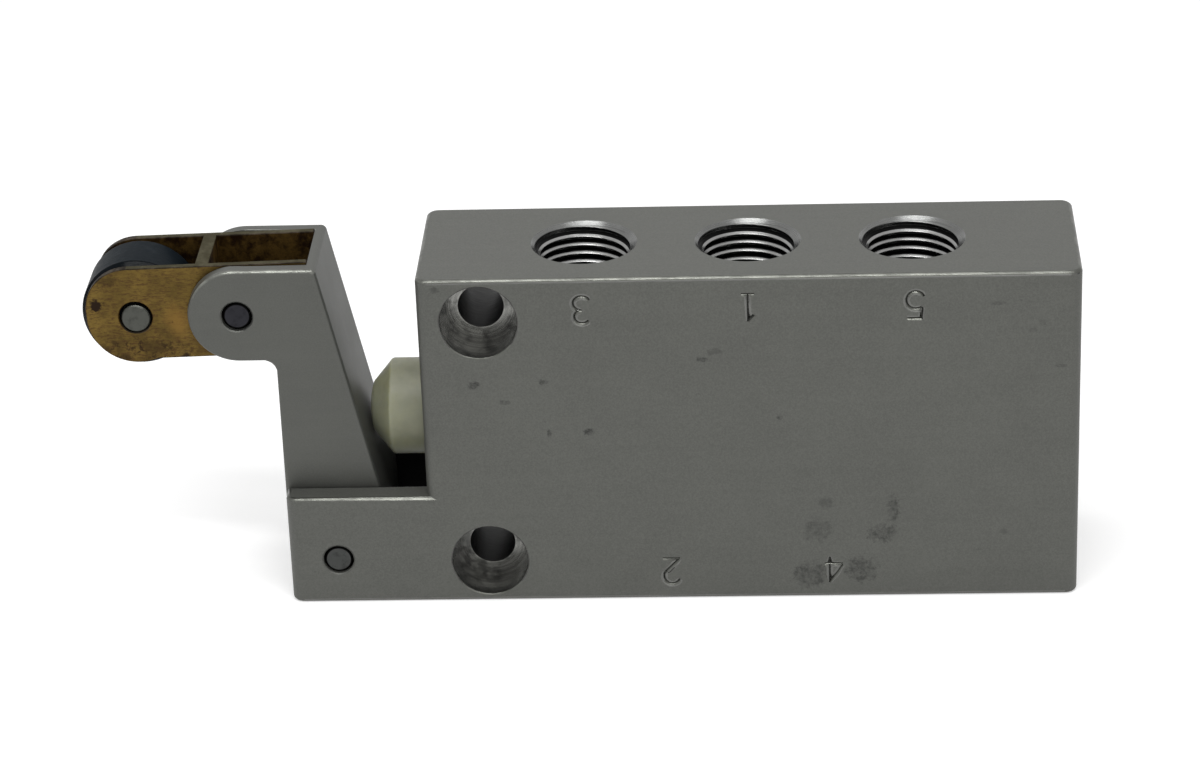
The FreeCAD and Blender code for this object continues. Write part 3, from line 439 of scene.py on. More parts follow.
def satin_aluminium(name, colour, marks=(), grain=1.0):
    """Blasted and anodised aluminium: an even fine grain, faint drawing lines and dark marks."""
    material, tree = new_material(name)
    place = place_in_mm(tree)
    speckle = noise(tree, place, 7.0, 2.0, 0.6)
    patches = noise(tree, place, 0.16, 4.0, 0.6)
    lines = noise(tree, place_in_mm(tree, (0.05, 1.0, 1.0)), 1.4, 2.0)
    tone = maths(tree, "ADD", span(tree, speckle, 0.3, 0.7, -0.14 * grain, 0.14 * grain),
                 span(tree, patches, 0.3, 0.7, -0.06, 0.06))
    tone = maths(tree, "ADD", tone, span(tree, lines, 0.3, 0.7, -0.02, 0.02))
    tone = maths(tree, "ADD", tone, 1.0)
    dirt = span(tree, noise(tree, place, 1.1, 3.0, 0.7), 0.70, 0.78, 0.0, 0.35)
    if marks:
        ragged = span(tree, noise(tree, place, 1.6, 4.0, 0.75), 0.2, 0.8, -0.75, 0.75)
        streaks = span(tree, noise(tree, place, 2.2, 4.0, 0.7), 0.40, 0.62, 0.2, 1.0)
        for centre, half, strength in marks:
            mark = smudge(tree, place, centre, half, BLOCK_LOW.y / MM, ragged)
            mark = maths(tree, "MULTIPLY", mark, strength)
            dirt = maths(tree, "MAXIMUM", dirt, maths(tree, "MULTIPLY", mark, streaks))
    clean = vector_maths(tree, "SCALE", {0: rgba(colour)[:3], 3: tone})
    surface = mix(tree, dirt, clean, rgba(colour, 0.22))
    height = maths(tree, "ADD", noise(tree, place, 9.0, 2.0, 0.7),
                   maths(tree, "MULTIPLY", noise(tree, place, 2.5, 2.0), 0.5))
    roughness = span(tree, patches, 0.3, 0.7, 0.46, 0.54)
    return finish(material, surface, 0.45, roughness, (height, 0.006, 0.5))


def cut_aluminium(name, colour, roughness, lines=(0.25, 0.25, 7.0)):
    """Bare aluminium as a cutter leaves it, with fine tool lines."""
    material, tree = new_material(name)
    streaks = noise(tree, place_in_mm(tree, lines), 2.2, 3.0, 0.6)
    worn = noise(tree, place_in_mm(tree), 0.5, 2.0)
    tone = mix(tree, span(tree, worn, 0.35, 0.7), rgba(colour), rgba(colour, 0.8))
    roughness = span(tree, streaks, 0.3, 0.7, roughness * 0.8, roughness * 1.4)
    return finish(material, tone, 1.0, roughness, (streaks, 0.002, 0.3))


def bored_aluminium(name, colour):
    """The counterbores: rings left by the cutter round each screw hole, and a little grime."""
    material, tree = new_material(name)
    place = place_in_mm(tree)
    parts = add_node(tree, "SeparateXYZ", {"Vector": place})
    up = maths(tree, "SUBTRACT", maths(tree, "ABSOLUTE", parts.outputs["Z"]), HOLE_HEIGHT / MM)
    flat = add_node(tree, "CombineXYZ", {"X": parts.outputs["X"], "Y": up})
    reach = vector_maths(tree, "LENGTH", {0: flat.outputs["Vector"]}, "Value")
    along = add_node(tree, "CombineXYZ", {"X": reach, "Y": parts.outputs["Y"]})
    rings = noise(tree, along.outputs["Vector"], 4.5, 3.0, 0.7)
    grime = noise(tree, place, 0.7, 4.0, 0.6)
    tone = mix(tree, span(tree, rings, 0.35, 0.65), rgba(colour, 0.5), rgba(colour, 1.5))
    tone = mix(tree, span(tree, grime, 0.45, 0.6, 0.0, 0.75), tone, rgba(colour, 0.3))
    return finish(material, tone, 0.9, span(tree, rings, 0.3, 0.7, 0.16, 0.28), (rings, 0.015, 0.6))


def edge_wear_and_painted_light(name, colour, dull=0.95, bright=1.35, metallic=0.9):
    """A broken edge, rubbed smoother than the faces beside it. dull and bright scale its colour: a
    lighter copy is a painted highlight on edges that face up, and a darker copy is painted shade on
    edges that face right.
    """
    material, tree = new_material(name)
    place = place_in_mm(tree)
    lighter_share = span(tree, noise(tree, place, 0.5, 4.0, 0.65), 0.35, 0.65, smooth=True)
    tone = mix(tree, lighter_share, rgba(colour, dull), rgba(colour, bright))
    nicks = noise(tree, place, 3.0, 3.0, 0.7)
    return finish(material, tone, metallic, span(tree, lighter_share, 0.0, 1.0, 0.36, 0.28),
                  (nicks, 0.005, 0.3))


def worn_brass(name, colour, tarnish, axis, front):
    """Handled brass sheet: brushed lengthwise, golden in a patch near the lever, with dark stains
    and pits.
    """
    material, tree = new_material(name)
    place = place_in_mm(tree)

    def mark(centre, half, edge_noise, soft=0.45):
        """A mark on the front cheek, measured from the roller's axis."""
        at = (axis[0] + centre[0], axis[1] + centre[1])
        return smudge(tree, place, at, half, front, edge_noise, soft)

    clouds = noise(tree, place, 0.28, 5.0, 0.65)
    fine = noise(tree, place_in_mm(tree, (0.45, 1.0, 1.6)), 4.0, 4.0, 0.75)
    tone = mix(tree, span(tree, clouds, 0.38, 0.66), rgba(colour, 1.3), rgba(colour, 0.72))
    tone = mix(tree, span(tree, fine, 0.46, 0.66, 0.0, 0.85), tone, rgba(tarnish, 3.4))
    lighter_share = mark(*BRASS_GOLDEN_PATCH, span(tree, clouds, 0.3, 0.7, -0.3, 0.3), 1.0)
    tone = mix(tree, maths(tree, "MULTIPLY", lighter_share, 0.7), tone, BRASS_GOLD)
    ragged = span(tree, noise(tree, place, 2.2, 4.0, 0.75), 0.2, 0.8, -0.7, 0.7)
    stain = span(tree, noise(tree, place, 1.3, 4.0, 0.7), 0.66, 0.74, 0.0, 0.7)
    for centre, half, strength in LINK_STAINS:
        spot = maths(tree, "MULTIPLY", mark(centre, half, ragged), strength)
        stain = maths(tree, "MAXIMUM", stain, spot)
    pitted = span(tree, noise(tree, place, 1.5, 4.0, 0.75), 0.53, 0.60)
    pitted = maths(tree, "MULTIPLY", pitted, mark(*BRASS_PITS, 0.0, 0.8))
    stain = maths(tree, "MAXIMUM", stain, maths(tree, "MULTIPLY", pitted, 0.8))
    surface = mix(tree, stain, tone, rgba(tarnish))
    return finish(material, surface, 0.85, span(tree, clouds, 0.35, 0.7, 0.36, 0.55),
                  (maths(tree, "SUBTRACT", fine, stain), 0.015, 0.5))


def soiled_brass(name, light, dark):
    """Brass that nothing rubs: blotched dark, with the metal showing in places."""
    material, tree = new_material(name)
    place = place_in_mm(tree)
    blotches = noise(tree, place, 0.45, 5.0, 0.7)
    specks = noise(tree, place, 2.4, 3.0, 0.7)
    tone = mix(tree, span(tree, blotches, 0.38, 0.62, smooth=True), rgba(dark), rgba(light))
    tone = mix(tree, span(tree, specks, 0.5, 0.7, 0.0, 0.5), tone, rgba(dark, 0.8))
    return finish(material, tone, 0.9, span(tree, blotches, 0.35, 0.65, 0.8, 0.55),
                  (specks, 0.015, 0.5), Specular_IOR_Level=0.2)


def turned_steel(name, colour, roughness, axis=1):
    """Steel with fine turning lines round the given axis."""
    material, tree = new_material(name)
    scale = [0.6, 0.6, 0.6]
    scale[axis] = 9.0
    lines = noise(tree, place_in_mm(tree, scale), 1.6, 3.0, 0.6)
    spots = noise(tree, place_in_mm(tree), 1.4, 4.0, 0.65)
    tone = mix(tree, span(tree, spots, 0.5, 0.75, 0.0, 0.8), rgba(colour), rgba(colour, 0.5))
    roughness = span(tree, lines, 0.3, 0.7, roughness * 0.8, roughness * 1.3)
    return finish(material, tone, 1.0, roughness, (lines, 0.006, 0.4))


def dark_plastic(name, colour, roughness, scuff, gloss=0.2, ior=1.5):
    """Turned dark plastic with faint circular scratches and dusty patches."""
    material, tree = new_material(name)
    dust = noise(tree, place_in_mm(tree), 0.45, 5.0, 0.65)
    scratches = noise(tree, place_in_mm(tree, (1.0, 7.0, 1.0)), 1.5, 4.0, 0.7)
    tone = mix(tree, span(tree, dust, 0.45, 0.75, 0.0, scuff), rgba(colour), DUST)
    roughness = span(tree, scratches, 0.3, 0.75, roughness * 0.8, roughness * 1.5)
    return finish(material, tone, 0.0, roughness, (scratches, 0.008, 0.35),
                  Specular_IOR_Level=gloss, IOR=ior)


def natural_nylon(name, colour):
    """Ivory nylon that lets a little light through, with turning lines and faint soiling."""
    material, tree = new_material(name)
    place = place_in_mm(tree)
    lines = noise(tree, place_in_mm(tree, (7.0, 0.8, 0.8)), 1.4, 3.0)
    clouds = noise(tree, place, 0.3, 4.0, 0.6)
    specks = span(tree, noise(tree, place, 1.3, 4.0, 0.75), 0.66, 0.76, 0.0, 0.55)
    tone = mix(tree, span(tree, clouds, 0.35, 0.7), rgba(colour, 1.12), rgba(colour, 0.84))
    tone = mix(tree, specks, tone, rgba(colour, 0.45))
    return finish(material, tone, 0.0, span(tree, clouds, 0.3, 0.7, 0.36, 0.5),
                  (lines, 0.01, 0.3), Subsurface_Weight=1.0,
                  Subsurface_Radius=(1.0, 0.9, 0.55), Subsurface_Scale=4.0 * MM)


def soft_rubber(name, colour):
    """Matt black rubber with a faint bloom."""
    material, tree = new_material(name)
    bloom = noise(tree, place_in_mm(tree), 0.8, 4.0, 0.6)
    tone = mix(tree, span(tree, bloom, 0.4, 0.75, 0.0, 0.25), rgba(colour), BLOOM)
    return finish(material, tone, 0.0, span(tree, bloom, 0.3, 0.7, 0.5, 0.68),
                  (noise(tree, place_in_mm(tree), 6.0), 0.01, 0.3))


# Meshes.


def link_object(name, mesh):
    """A new object in the scene."""
    piece = bpy.data.objects.new(name, mesh)
    bpy.context.scene.collection.objects.link(piece)
    return piece


def evaluated_mesh(item):
    """A new mesh in the shape that the object has with its modifiers."""
    bpy.context.view_layer.update()
    evaluated = item.evaluated_get(bpy.context.evaluated_depsgraph_get())
    return bpy.data.meshes.new_from_object(evaluated)


def apply_modifiers(piece):
    """Put the piece's modifiers into its mesh."""
    mesh, old = evaluated_mesh(piece), piece.data
    piece.modifiers.clear()
    piece.data = mesh
    mesh.name = piece.name
    bpy.data.meshes.remove(old)


def baked_curve(curve_object):
    """A mesh object in place of a curve object."""
    mesh = evaluated_mesh(curve_object)
    name = curve_object.name
    bpy.data.objects.remove(curve_object)
    weld(mesh)
    return link_object(name, mesh)


@contextmanager
def edited(mesh):
    """The mesh opened for editing; it takes over the changes at the end."""
    work = bmesh.new()
    work.from_mesh(mesh)
    yield work
    work.to_mesh(mesh)
    work.free()


def weld(mesh):
    """Weld the points of a mesh that lie in one place."""
    with edited(mesh) as work:
        bmesh.ops.remove_doubles(work, verts=work.verts, dist=WELD)


def join_facets(mesh):
    """Join up the flat facets of a mesh."""
    with edited(mesh) as work:
        bmesh.ops.dissolve_limit(work, angle_limit=FLAT_ANGLE, verts=work.verts, edges=work.edges)


def shade_smooth(mesh):
    """Shade a mesh smooth between its sharp edges."""
    for polygon in mesh.polygons:
        polygon.use_smooth = True
    mesh.set_sharp_from_angle(angle=SMOOTH_ANGLE)


def plain_copy(node, name, materials):
    """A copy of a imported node's mesh, with its points welded and materials of its own."""
    mesh = frame["nodes"][node].data.copy()
    mesh.materials.clear()
    for material in materials:
        mesh.materials.append(material)
    if "custom_normal" in mesh.attributes:
        mesh.attributes.remove(mesh.attributes["custom_normal"])
    weld(mesh)
    return link_object(name, mesh)


def breaks_edge(face, axis, level):
    """Whether a face is a narrow chamfer beside the plane at a level of an axis."""
    apart = [abs(vert.co[axis] - level) for vert in face.verts]
    slanted = BREAK_SLANT[0] < abs(face.normal[axis]) < BREAK_SLANT[1]
    return slanted and min(apart) < WELD and max(apart) < EDGE_BREAK + WELD


def mark_broken_edges(piece, planes):
    """Give the chamfers beside the planes the edge's material, a rubbed edge with a painted
    highlight, and weigh the edges to round.
    """
    with edited(piece.data) as work:
        work.normal_update()
        weights = work.edges.layers.float.new("bevel_weight_edge")
        narrow = {face for face in work.faces if any(breaks_edge(face, *plane) for plane in planes)}
        for face in narrow:
            face.material_index = EDGE_WEAR_AND_HIGHLIGHT
        for edge in work.edges:
            sides = sum(face in narrow for face in edge.link_faces)
            sharp = edge.is_convex and edge.calc_face_angle(0.0) > HARD_ANGLE
            in_plane = any(all(abs(vert.co[axis] - level) < WELD for vert in edge.verts)
                           for axis, level in planes)
            middle = (edge.verts[0].co + edge.verts[1].co) / 2
            off_hole = math.hypot(middle.x, abs(middle.z) - HOLE_HEIGHT)
            long_or_rim = edge.calc_length() > LONG_EDGE or off_hole < HOLE_REACH
            if sharp and (sides == 1 or (in_plane and long_or_rim)):
                edge[weights] = 1.0


def round_crown(piece, top, width):
    """Round the corner between the lever's top and its leaning face, over the whole depth."""
    with edited(piece.data) as work:
        corners = [vert for vert in work.verts if vert.co.z > top - EDGE_BREAK - WELD]
        right = max(vert.co.x for vert in corners)
        crown = [edge for edge in work.edges if edge.calc_face_angle(0.0) > HARD_ANGLE
                 and all(vert in corners and vert.co.x > right - EDGE_BREAK for vert in edge.verts)]
        bmesh.ops.bevel(work, geom=crown, offset=width, segments=CROWN_STEPS, profile=0.5,
                        affect="EDGES", loop_slide=True)


def round_edges(piece, radius, segments=2, material=-1, marked=False):
    """Round the piece's hard edges; the new faces may take a material of their own."""
    bevel = piece.modifiers.new("edges", "BEVEL")
    bevel.limit_method = "WEIGHT" if marked else "ANGLE"
    bevel.angle_limit = HARD_ANGLE
    bevel.width = radius
    bevel.segments = segments
    bevel.use_clamp_overlap = not marked
    bevel.loop_slide = not marked
    bevel.harden_normals = True
    bevel.material = material
    shade_smooth(piece.data)
    apply_modifiers(piece)


def finished_copy(node, name, body, materials, radius, segments=2):
    """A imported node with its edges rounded: it takes the node's place."""
    piece = plain_copy(node, name, materials)
    join_facets(piece.data)
    round_edges(piece, radius, segments, len(materials) - 1 if len(materials) > 1 else -1)
    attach(piece, body)
    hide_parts(node)
    return piece


def flexing_copy(node, name, material):
    """A packed spring's shape as a piece of its own: it takes the node's place."""
    piece = plain_copy(node, name, [material])
    shade_smooth(piece.data)
    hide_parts(node)
    return piece


def paint_node(node, material):
    """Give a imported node's own object a material."""
    packed = frame["nodes"][node]
    for slot in packed.material_slots:
        slot.material = material


# Strokes of the stamped numbers, on a grid one wide and one high; an arc is
# (centre, radius across, radius up, start, end) with its angles in degrees.
NUMBER_STROKES = {
    "1": [[(0.2, 0.75), (0.5, 1.0), (0.5, 0.0)], [(0.15, 0.0), (0.85, 0.0)]],
    "2": [("arc", (0.5, 0.70), 0.45, 0.30, 160, -40), [(0.84, 0.50), (0.05, 0.0), (1.0, 0.0)]],
    "3": [("arc", (0.48, 0.76), 0.42, 0.24, 150, -90), ("arc", (0.48, 0.26), 0.47, 0.26, 90, -150)],
    "4": [[(0.72, 0.0), (0.72, 1.0), (0.0, 0.32)], [(0.0, 0.28), (1.0, 0.28)]],
    "5": [[(0.92, 1.0), (0.15, 1.0), (0.10, 0.56)], ("arc", (0.46, 0.32), 0.50, 0.32, 130, -150)],
}
ARC_STEPS = 14


def stroke_points(stroke):
    """The points of one stroke on the number's unit grid."""
    if stroke[0] != "arc":
        return stroke
    _, centre, across, up, start, end = stroke
    points = []
    for step in range(ARC_STEPS + 1):
        angle = math.radians(start + (end - start) * step / ARC_STEPS)
        points.append((centre[0] + across * math.cos(angle), centre[1] + up * math.sin(angle)))
    return points


def stamp_tool(name, points, middle, settings):
    """The punch for one stroke on the front face, upside down as the ports are marked."""
    curve = bpy.data.curves.new(name, "CURVE")
    curve.dimensions = "3D"
    curve.bevel_depth = settings.number_stroke
    curve.bevel_resolution = 0
    curve.use_fill_caps = True
    spline = curve.splines.new("POLY")
    spline.points.add(len(points) - 1)
    for point, (across, up) in zip(spline.points, points):
        x = middle[0] - (across - 0.5) * settings.number_width
        z = middle[1] - (up - 0.5) * settings.number_height
        point.co = (x, BLOCK_LOW.y - STAMP_LIFT, z, 1.0)
    return baked_curve(link_object(name, curve))


def stamp_numbers(piece, settings):
    """Cut every port's number into the block's front face, stroke by stroke."""
    punches = []
    for name, port in PORTS.items():
        if port["axis"][2] > 0:
            z = BLOCK_HIGH.z - settings.number_top
        else:
            z = BLOCK_LOW.z + settings.number_bottom
        strokes = []
        for stroke in NUMBER_STROKES[name[-1]]:
            points = stroke_points(stroke)
            strokes += [points] if stroke[0] == "arc" else list(zip(points, points[1:]))
        for index, points in enumerate(strokes):
            punch = stamp_tool(f"punch_{name}_{index}", points, (port["pos_m"][0], z), settings)
            cut = piece.modifiers.new(punch.name, "BOOLEAN")
            cut.operation = "DIFFERENCE"
            cut.solver = "EXACT"
            cut.object = punch
            punches.append(punch)
    apply_modifiers(piece)
    for punch in punches:
        bpy.data.objects.remove(punch)


def thread_profile(settings, wall):
    """The ridge's outline as (radius, height, slot of the side that starts there)."""
    root = settings.pitch / 2 - ROOT_GAP
    crest, slope = settings.crest, settings.crest_slope
    # The outward slope and the crest take the lit copy, a painted highlight; the flank below and
    # the root take the shaded copy, painted shade.
    return [(wall + THREAD_SINK, root, SHADED_ROOT), (wall, root, SHADED_ROOT), (crest + slope, slope, LIT_CREST),
            (crest, 0.0, LIT_CREST), (crest, -settings.crest_flat, SHADED_ROOT), (wall, -root, SHADED_ROOT),
            (wall + THREAD_SINK, -root, SHADED_ROOT)]


def wind_thread(work, port, profile, wall, settings):
    """Wind the outline down the port: its rows of points, and those that the countersink cuts."""
    x, y, _ = port["pos_m"]
    up = 1.0 if port["axis"][2] > 0 else -1.0
    face = BLOCK_HIGH.z if up > 0 else BLOCK_LOW.z
    first = -THREAD_LEAD * settings.pitch
    last = port["dims"]["length_mm"] * MM - settings.run_out
    rows, mouth = [], set()
    for step in range(int((last - first) / settings.pitch * settings.segments) + 1):
        turn = -up * (2 * math.pi * step / settings.segments)
        middle = first + settings.pitch * step / settings.segments
        row = []
        for radius, height, _ in profile:
            depth = middle - height
            cone = settings.rim - depth
            reach = max(radius, cone)
            if reach > wall:
                reach += THREAD_SINK
            row.append(work.verts.new((x + reach * math.cos(turn), y + reach * math.sin(turn),
                                       face - up * max(depth, MOUTH_SINK))))
            if cone > radius:
                mouth.add(row[-1])
        rows.append(row)
    return rows, mouth


def make_thread(name, port, settings, materials):
    """One port's thread: a ridge wound down the wall and cut off by the countersink."""
    wall = port["dims"]["r_mm"] * MM
    profile = thread_profile(settings, wall)
    work = bmesh.new()
    rows, mouth = wind_thread(work, port, profile, wall, settings)
    for lower, upper in zip(rows, rows[1:]):
        for index, (_, _, slot) in enumerate(profile):
            after = (index + 1) % len(profile)
            quad = work.faces.new((lower[index], lower[after], upper[after], upper[index]))
            in_mouth = any(vert in mouth for vert in quad.verts)
            quad.material_index = MOUTH if in_mouth else slot
    work.faces.new(rows[0])
    work.faces.new(list(reversed(rows[-1])))
    bmesh.ops.remove_doubles(work, verts=work.verts, dist=WELD)
    bmesh.ops.recalc_face_normals(work, faces=work.faces)
    mesh = bpy.data.meshes.new(name)
    work.to_mesh(mesh)
    work.free()
    shade_smooth(mesh)
    for material in materials:
        mesh.materials.append(material)
    piece = link_object(name, mesh)
    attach(piece, "valve")


# Operators: one for each piece or group of like pieces.


class Step:
    """What the operators share: each one's run takes the valve's settings."""

    def execute(self, context):
        self.run(context.scene.air_valve)
        return {"FINISHED"}


def paint_edge_highlight_and_shade(piece):
    """Keep the lighter edge material, a painted highlight on top of real rubbing, on the edges that
    face up; paint shade onto those that face right with the darker edge material, and give the rest
    the satin.
    """
    for polygon in piece.data.polygons:
        normal = polygon.normal
        if polygon.material_index == EDGE_WEAR_AND_HIGHLIGHT and normal.z < UPWARD:
            dark = normal.x > UPWARD and CHAMFER_SLANT[0] < abs(normal.y) < CHAMFER_SLANT[1]
            polygon.material_index = EDGE_PAINTED_SHADE if dark else SATIN


def opening_slot(centre, rim, low, high):
    """The material slot for a satin face of the block with this centre."""
    slot = SATIN
    for port in PORTS.values():
        x, y, z = port["pos_m"]
        near = math.hypot(centre.x - x, centre.y - y) < rim + SKIN
        if near and low.z < centre.z < high.z and centre.z * z > 0:
            slot = PORT
    off_hole = math.hypot(centre.x, abs(centre.z) - HOLE_HEIGHT)
    if low.y < centre.y < high.y and off_hole < HOLE_REACH:
        # Past the counterbore, deep in the screw hole: painted shade.
        slot = BORED if centre.y < low.y + HOLE_SINK else HOLE_SHADE
    off_bore = math.hypot(centre.y - BORE_Y, centre.z)
    if BLOCK_FACE_X + SKIN < centre.x < high.x and off_bore < BORE_REACH:
        slot = BORED
    in_slot = abs(centre.y - BORE_Y) < SLOT_HALF and centre.x < BLOCK_FACE_X + SLOT_DEPTH
    # Inside the clevis slot: painted shade.
    if in_slot and centre.z < CLEVIS_TOP_Z - SKIN:
        slot = SHADED_SLOT
    stamped = (low.y < centre.y < BLOCK_LOW.y + STAMP_DEEP
               and HOLE_REACH < centre.x < high.x - STAMP_MARGIN
               and low.z + EDGE_BREAK < centre.z < high.z - EDGE_BREAK)
    return STAMPED if stamped and slot == SATIN else slot


def paint_openings(block, rim):
    """Give the block's openings and stamped numbers surfaces of their own; the depths of the screw
    holes and the clevis slot get painted shade.
    """
    pin = sum(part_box("lever_pivot_pin"), Vector()) / 2
    skin = Vector((SKIN, SKIN, SKIN))
    for polygon in block.data.polygons:
        centre = polygon.center
        by_pin = math.hypot(centre.x - pin.x, centre.z - pin.z) < PIN_RING
        if by_pin or polygon.material_index == SATIN:
            polygon.material_index = opening_slot(centre, rim, BLOCK_LOW + skin, BLOCK_HIGH - skin)


class FinishBlock(Step, bpy.types.Operator):
    """Round the block's edges, stamp its port numbers and give it its satin finish"""

    bl_idname = "air_valve.finish_block"
    bl_label = "Finish Block"

    def run(self, valve):
        settings, thread = valve.block, valve.thread
        block = plain_copy("valve_body", "satin_block", [
            satin_aluminium("block_satin", settings.colour, BLOCK_MARKS),
            # A lighter copy of the satin colour for the edges, a painted highlight on top of real
            # rubbing, and a darker copy that paints shade on edges that face right.
            edge_wear_and_painted_light("block_edge_wear_and_highlight", settings.colour),
            edge_wear_and_painted_light("block_edge_painted_shade", settings.colour, 0.3, 0.55, 0.3),
            cut_aluminium("port_aluminium", thread.mouth, 0.24),
            bored_aluminium("bored_aluminium", settings.bored),
            # The next two are near black: painted shade deep in the screw holes and in the clevis
            # slot.
            cut_aluminium("hole_painted_shade", settings.drilled, 0.4, (0.3, 7.0, 0.3)),
            cut_aluminium("slot_painted_shade", settings.slot_shade, 0.5),
            cut_aluminium("stamped_aluminium", settings.stamped, 0.22)])
        stamp_numbers(block, settings)
        join_facets(block.data)
        mark_broken_edges(block, BLOCK_PLANES)
        round_edges(block, settings.edge, 2, EDGE_WEAR_AND_HIGHLIGHT, marked=True)
        paint_edge_highlight_and_shade(block)
        paint_openings(block, thread.rim)
        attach(block, "valve")
        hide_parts("valve_body")


class CutThreads(Step, bpy.types.Operator):
    """Wind the thread in each of the five ports"""

    bl_idname = "air_valve.cut_threads"
    bl_label = "Cut Threads"

    def run(self, valve):
        settings = valve.thread
        # A lit copy of the cut metal for the crests, a painted highlight, and a near black copy for
        # the roots, painted shade.
        materials = [cut_aluminium("thread_crest_painted_highlight", settings.colour, 0.2),
                     cut_aluminium("thread_root_painted_shade", settings.root, 0.5),
                     cut_aluminium("thread_mouth", settings.mouth, 0.24)]
        for name, port in PORTS.items():
            make_thread(f"{name}_thread", port, settings, materials)


class FinishLever(Step, bpy.types.Operator):
    """Round the lever's edges and give it its satin finish"""

    bl_idname = "air_valve.finish_lever"
    bl_label = "Finish Lever"

    def run(self, valve):
        settings = valve.lever
        low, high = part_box("lever")
        lever = plain_copy("lever", "satin_lever", [
            satin_aluminium("lever_satin", settings.colour, grain=0.6),
            # The lever's edge colour goes up to twice its satin colour, a painted highlight on top
            # of real rubbing; the low edge colour is painted shade on edges that face right.
            edge_wear_and_painted_light("lever_edge_wear_and_highlight", settings.colour, 1.3, 2.0),
            edge_wear_and_painted_light("lever_edge_painted_shade", settings.colour, 0.3, 0.55, 0.3)])
        join_facets(lever.data)
        round_crown(lever, high.z, settings.crown)
        levels = (low.y, low.y + FORK_CHEEK, high.y - FORK_CHEEK, high.y)
        mark_broken_edges(lever, [(1, level) for level in levels])
        round_edges(lever, valve.block.edge, 2, EDGE_WEAR_AND_HIGHLIGHT, marked=True)
        paint_edge_highlight_and_shade(lever)
        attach(lever, "lever")
        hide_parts("lever")


class FinishLink(Step, bpy.types.Operator):
    """Give the link its worn brass"""

    bl_idname = "air_valve.finish_link"
    bl_label = "Finish Link"

    def run(self, valve):
        settings = valve.lever
        axis = sum(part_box("roller"), Vector()) / 2
        low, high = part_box("roller_link")
        materials = [
            worn_brass("link_worn_brass", settings.brass, settings.tarnish,
                       (axis.x / MM, axis.z / MM), low.y / MM),
            soiled_brass("link_soiled_brass", settings.soiled, settings.tarnish),
            soiled_brass("link_rim_brass", settings.rim, rgba(settings.rim, 1 / 3)[:3]),
            soiled_brass("link_web_brass", settings.web, rgba(settings.web, 0.7)[:3])]
        link = finished_copy("roller_link", "brass_link", "link", materials, settings.edge)
        for polygon in link.data.polygons:
            depth = min(polygon.center.y - low.y, high.y - polygon.center.y)
            if depth < SKIN:
                polygon.material_index = BRASS
            elif polygon.normal.z < UPWARD:
                polygon.material_index = SOILED
            else:
                polygon.material_index = RIM if depth < LINK_CHEEK else WEB


class FinishRoller(Step, bpy.types.Operator):
    """Round the roller's rims and give it its dark plastic"""

    bl_idname = "air_valve.finish_roller"
    bl_label = "Finish Roller"

    def run(self, valve):
        settings = valve.lever
        dark = rgba(settings.roller, 0.5)[:3]
        materials = [dark_plastic("roller_acetal", settings.roller, 0.4, 0.06, 0.5, 1.1),
                     dark_plastic("roller_rim_acetal", dark, 0.16, 0.02, 0.16, 1.2)]
        roller = finished_copy("roller", "turned_roller", "roller", materials, settings.edge, 3)
        for polygon in roller.data.polygons:
            if ROLLER_SLANT[0] < abs(polygon.normal.y) < ROLLER_SLANT[1]:
                polygon.material_index = BEVEL


class FinishPins(Step, bpy.types.Operator):
    """Round the ends of the three pins and give them their steel"""

    bl_idname = "air_valve.finish_pins"
    bl_label = "Finish Pins"

    def run(self, valve):
        settings = valve.lever
        dark = turned_steel("pin_dark_steel", settings.pin, 0.4)
        # Near black on the pins' rims and sides: painted shade for the gap round each pin.
        rim = turned_steel("pin_rim_painted_shade", settings.pin_shade, 0.5)
        ground = turned_steel("axle_ground_steel", settings.axle, 0.4)
        bright = turned_steel("pin_worn_steel", settings.pivot, 0.42)
        for node, name, body, steel in (
                ("lever_pivot_pin", "bright_lever_pin", "valve", bright),
                ("link_pivot_pin", "dark_link_pin", "lever", dark)):
            pin = finished_copy(node, name, body, [steel, rim], settings.edge)
            for polygon in pin.data.polygons:
                side = abs(polygon.normal.y) < PIN_FLAT
                polygon.material_index = PIN_SHADED_SIDE if side else PIN_END
        finished_copy("roller_pin", "ground_roller_pin", "link", [ground], settings.edge / 2)


class FinishPlunger(Step, bpy.types.Operator):
    """Round the plunger's corners and give it its nylon"""

    bl_idname = "air_valve.finish_plunger"
    bl_label = "Finish Plunger"

    def run(self, valve):
        settings = valve.plunger
        nylon = natural_nylon("plunger_natural_nylon", settings.colour)
        finished_copy("plunger", "nylon_plunger", "spool", [nylon], settings.edge, 3)


class FinishSprings(Step, bpy.types.Operator):
    """Give both springs their wire finish, each as a piece of its own"""

    bl_idname = "air_valve.finish_springs"
    bl_label = "Finish Springs"

    def run(self, valve):
        settings = valve.plunger
        wire = turned_steel("spring_wire", settings.steel, 0.3)
        pressed = flexing_copy("return_spring", "pressed_return_spring", wire)
        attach(pressed, "valve")
        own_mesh(pressed)
        wound = flexing_copy("link_spring", "wound_link_spring", wire)
        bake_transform(wound)


class FinishStack(Step, bpy.types.Operator):
    """Give the spool, bushes, seals and cages their materials"""

    bl_idname = "air_valve.finish_stack"
    bl_label = "Finish Stack"

    def run(self, valve):
        settings = valve.plunger
        paint_node("spool", turned_steel("spool_ground_steel", settings.steel, 0.25, 0))
        bush = turned_steel("bush_turned_brass", settings.bush, 0.35, 0)
        for node in ("front_bush", "rear_bush"):
            paint_node(node, bush)
        rubber = soft_rubber("seal_black_rubber", settings.rubber)
        cage = dark_plastic("cage_moulded_plastic", settings.cage, 0.45, 0.05)
        for node in frame["nodes"]:
            if node.startswith("seal_ring_") or node == "end_plug_seal":
                paint_node(node, rubber)
            elif node.startswith("cage_"):
                paint_node(node, cage)


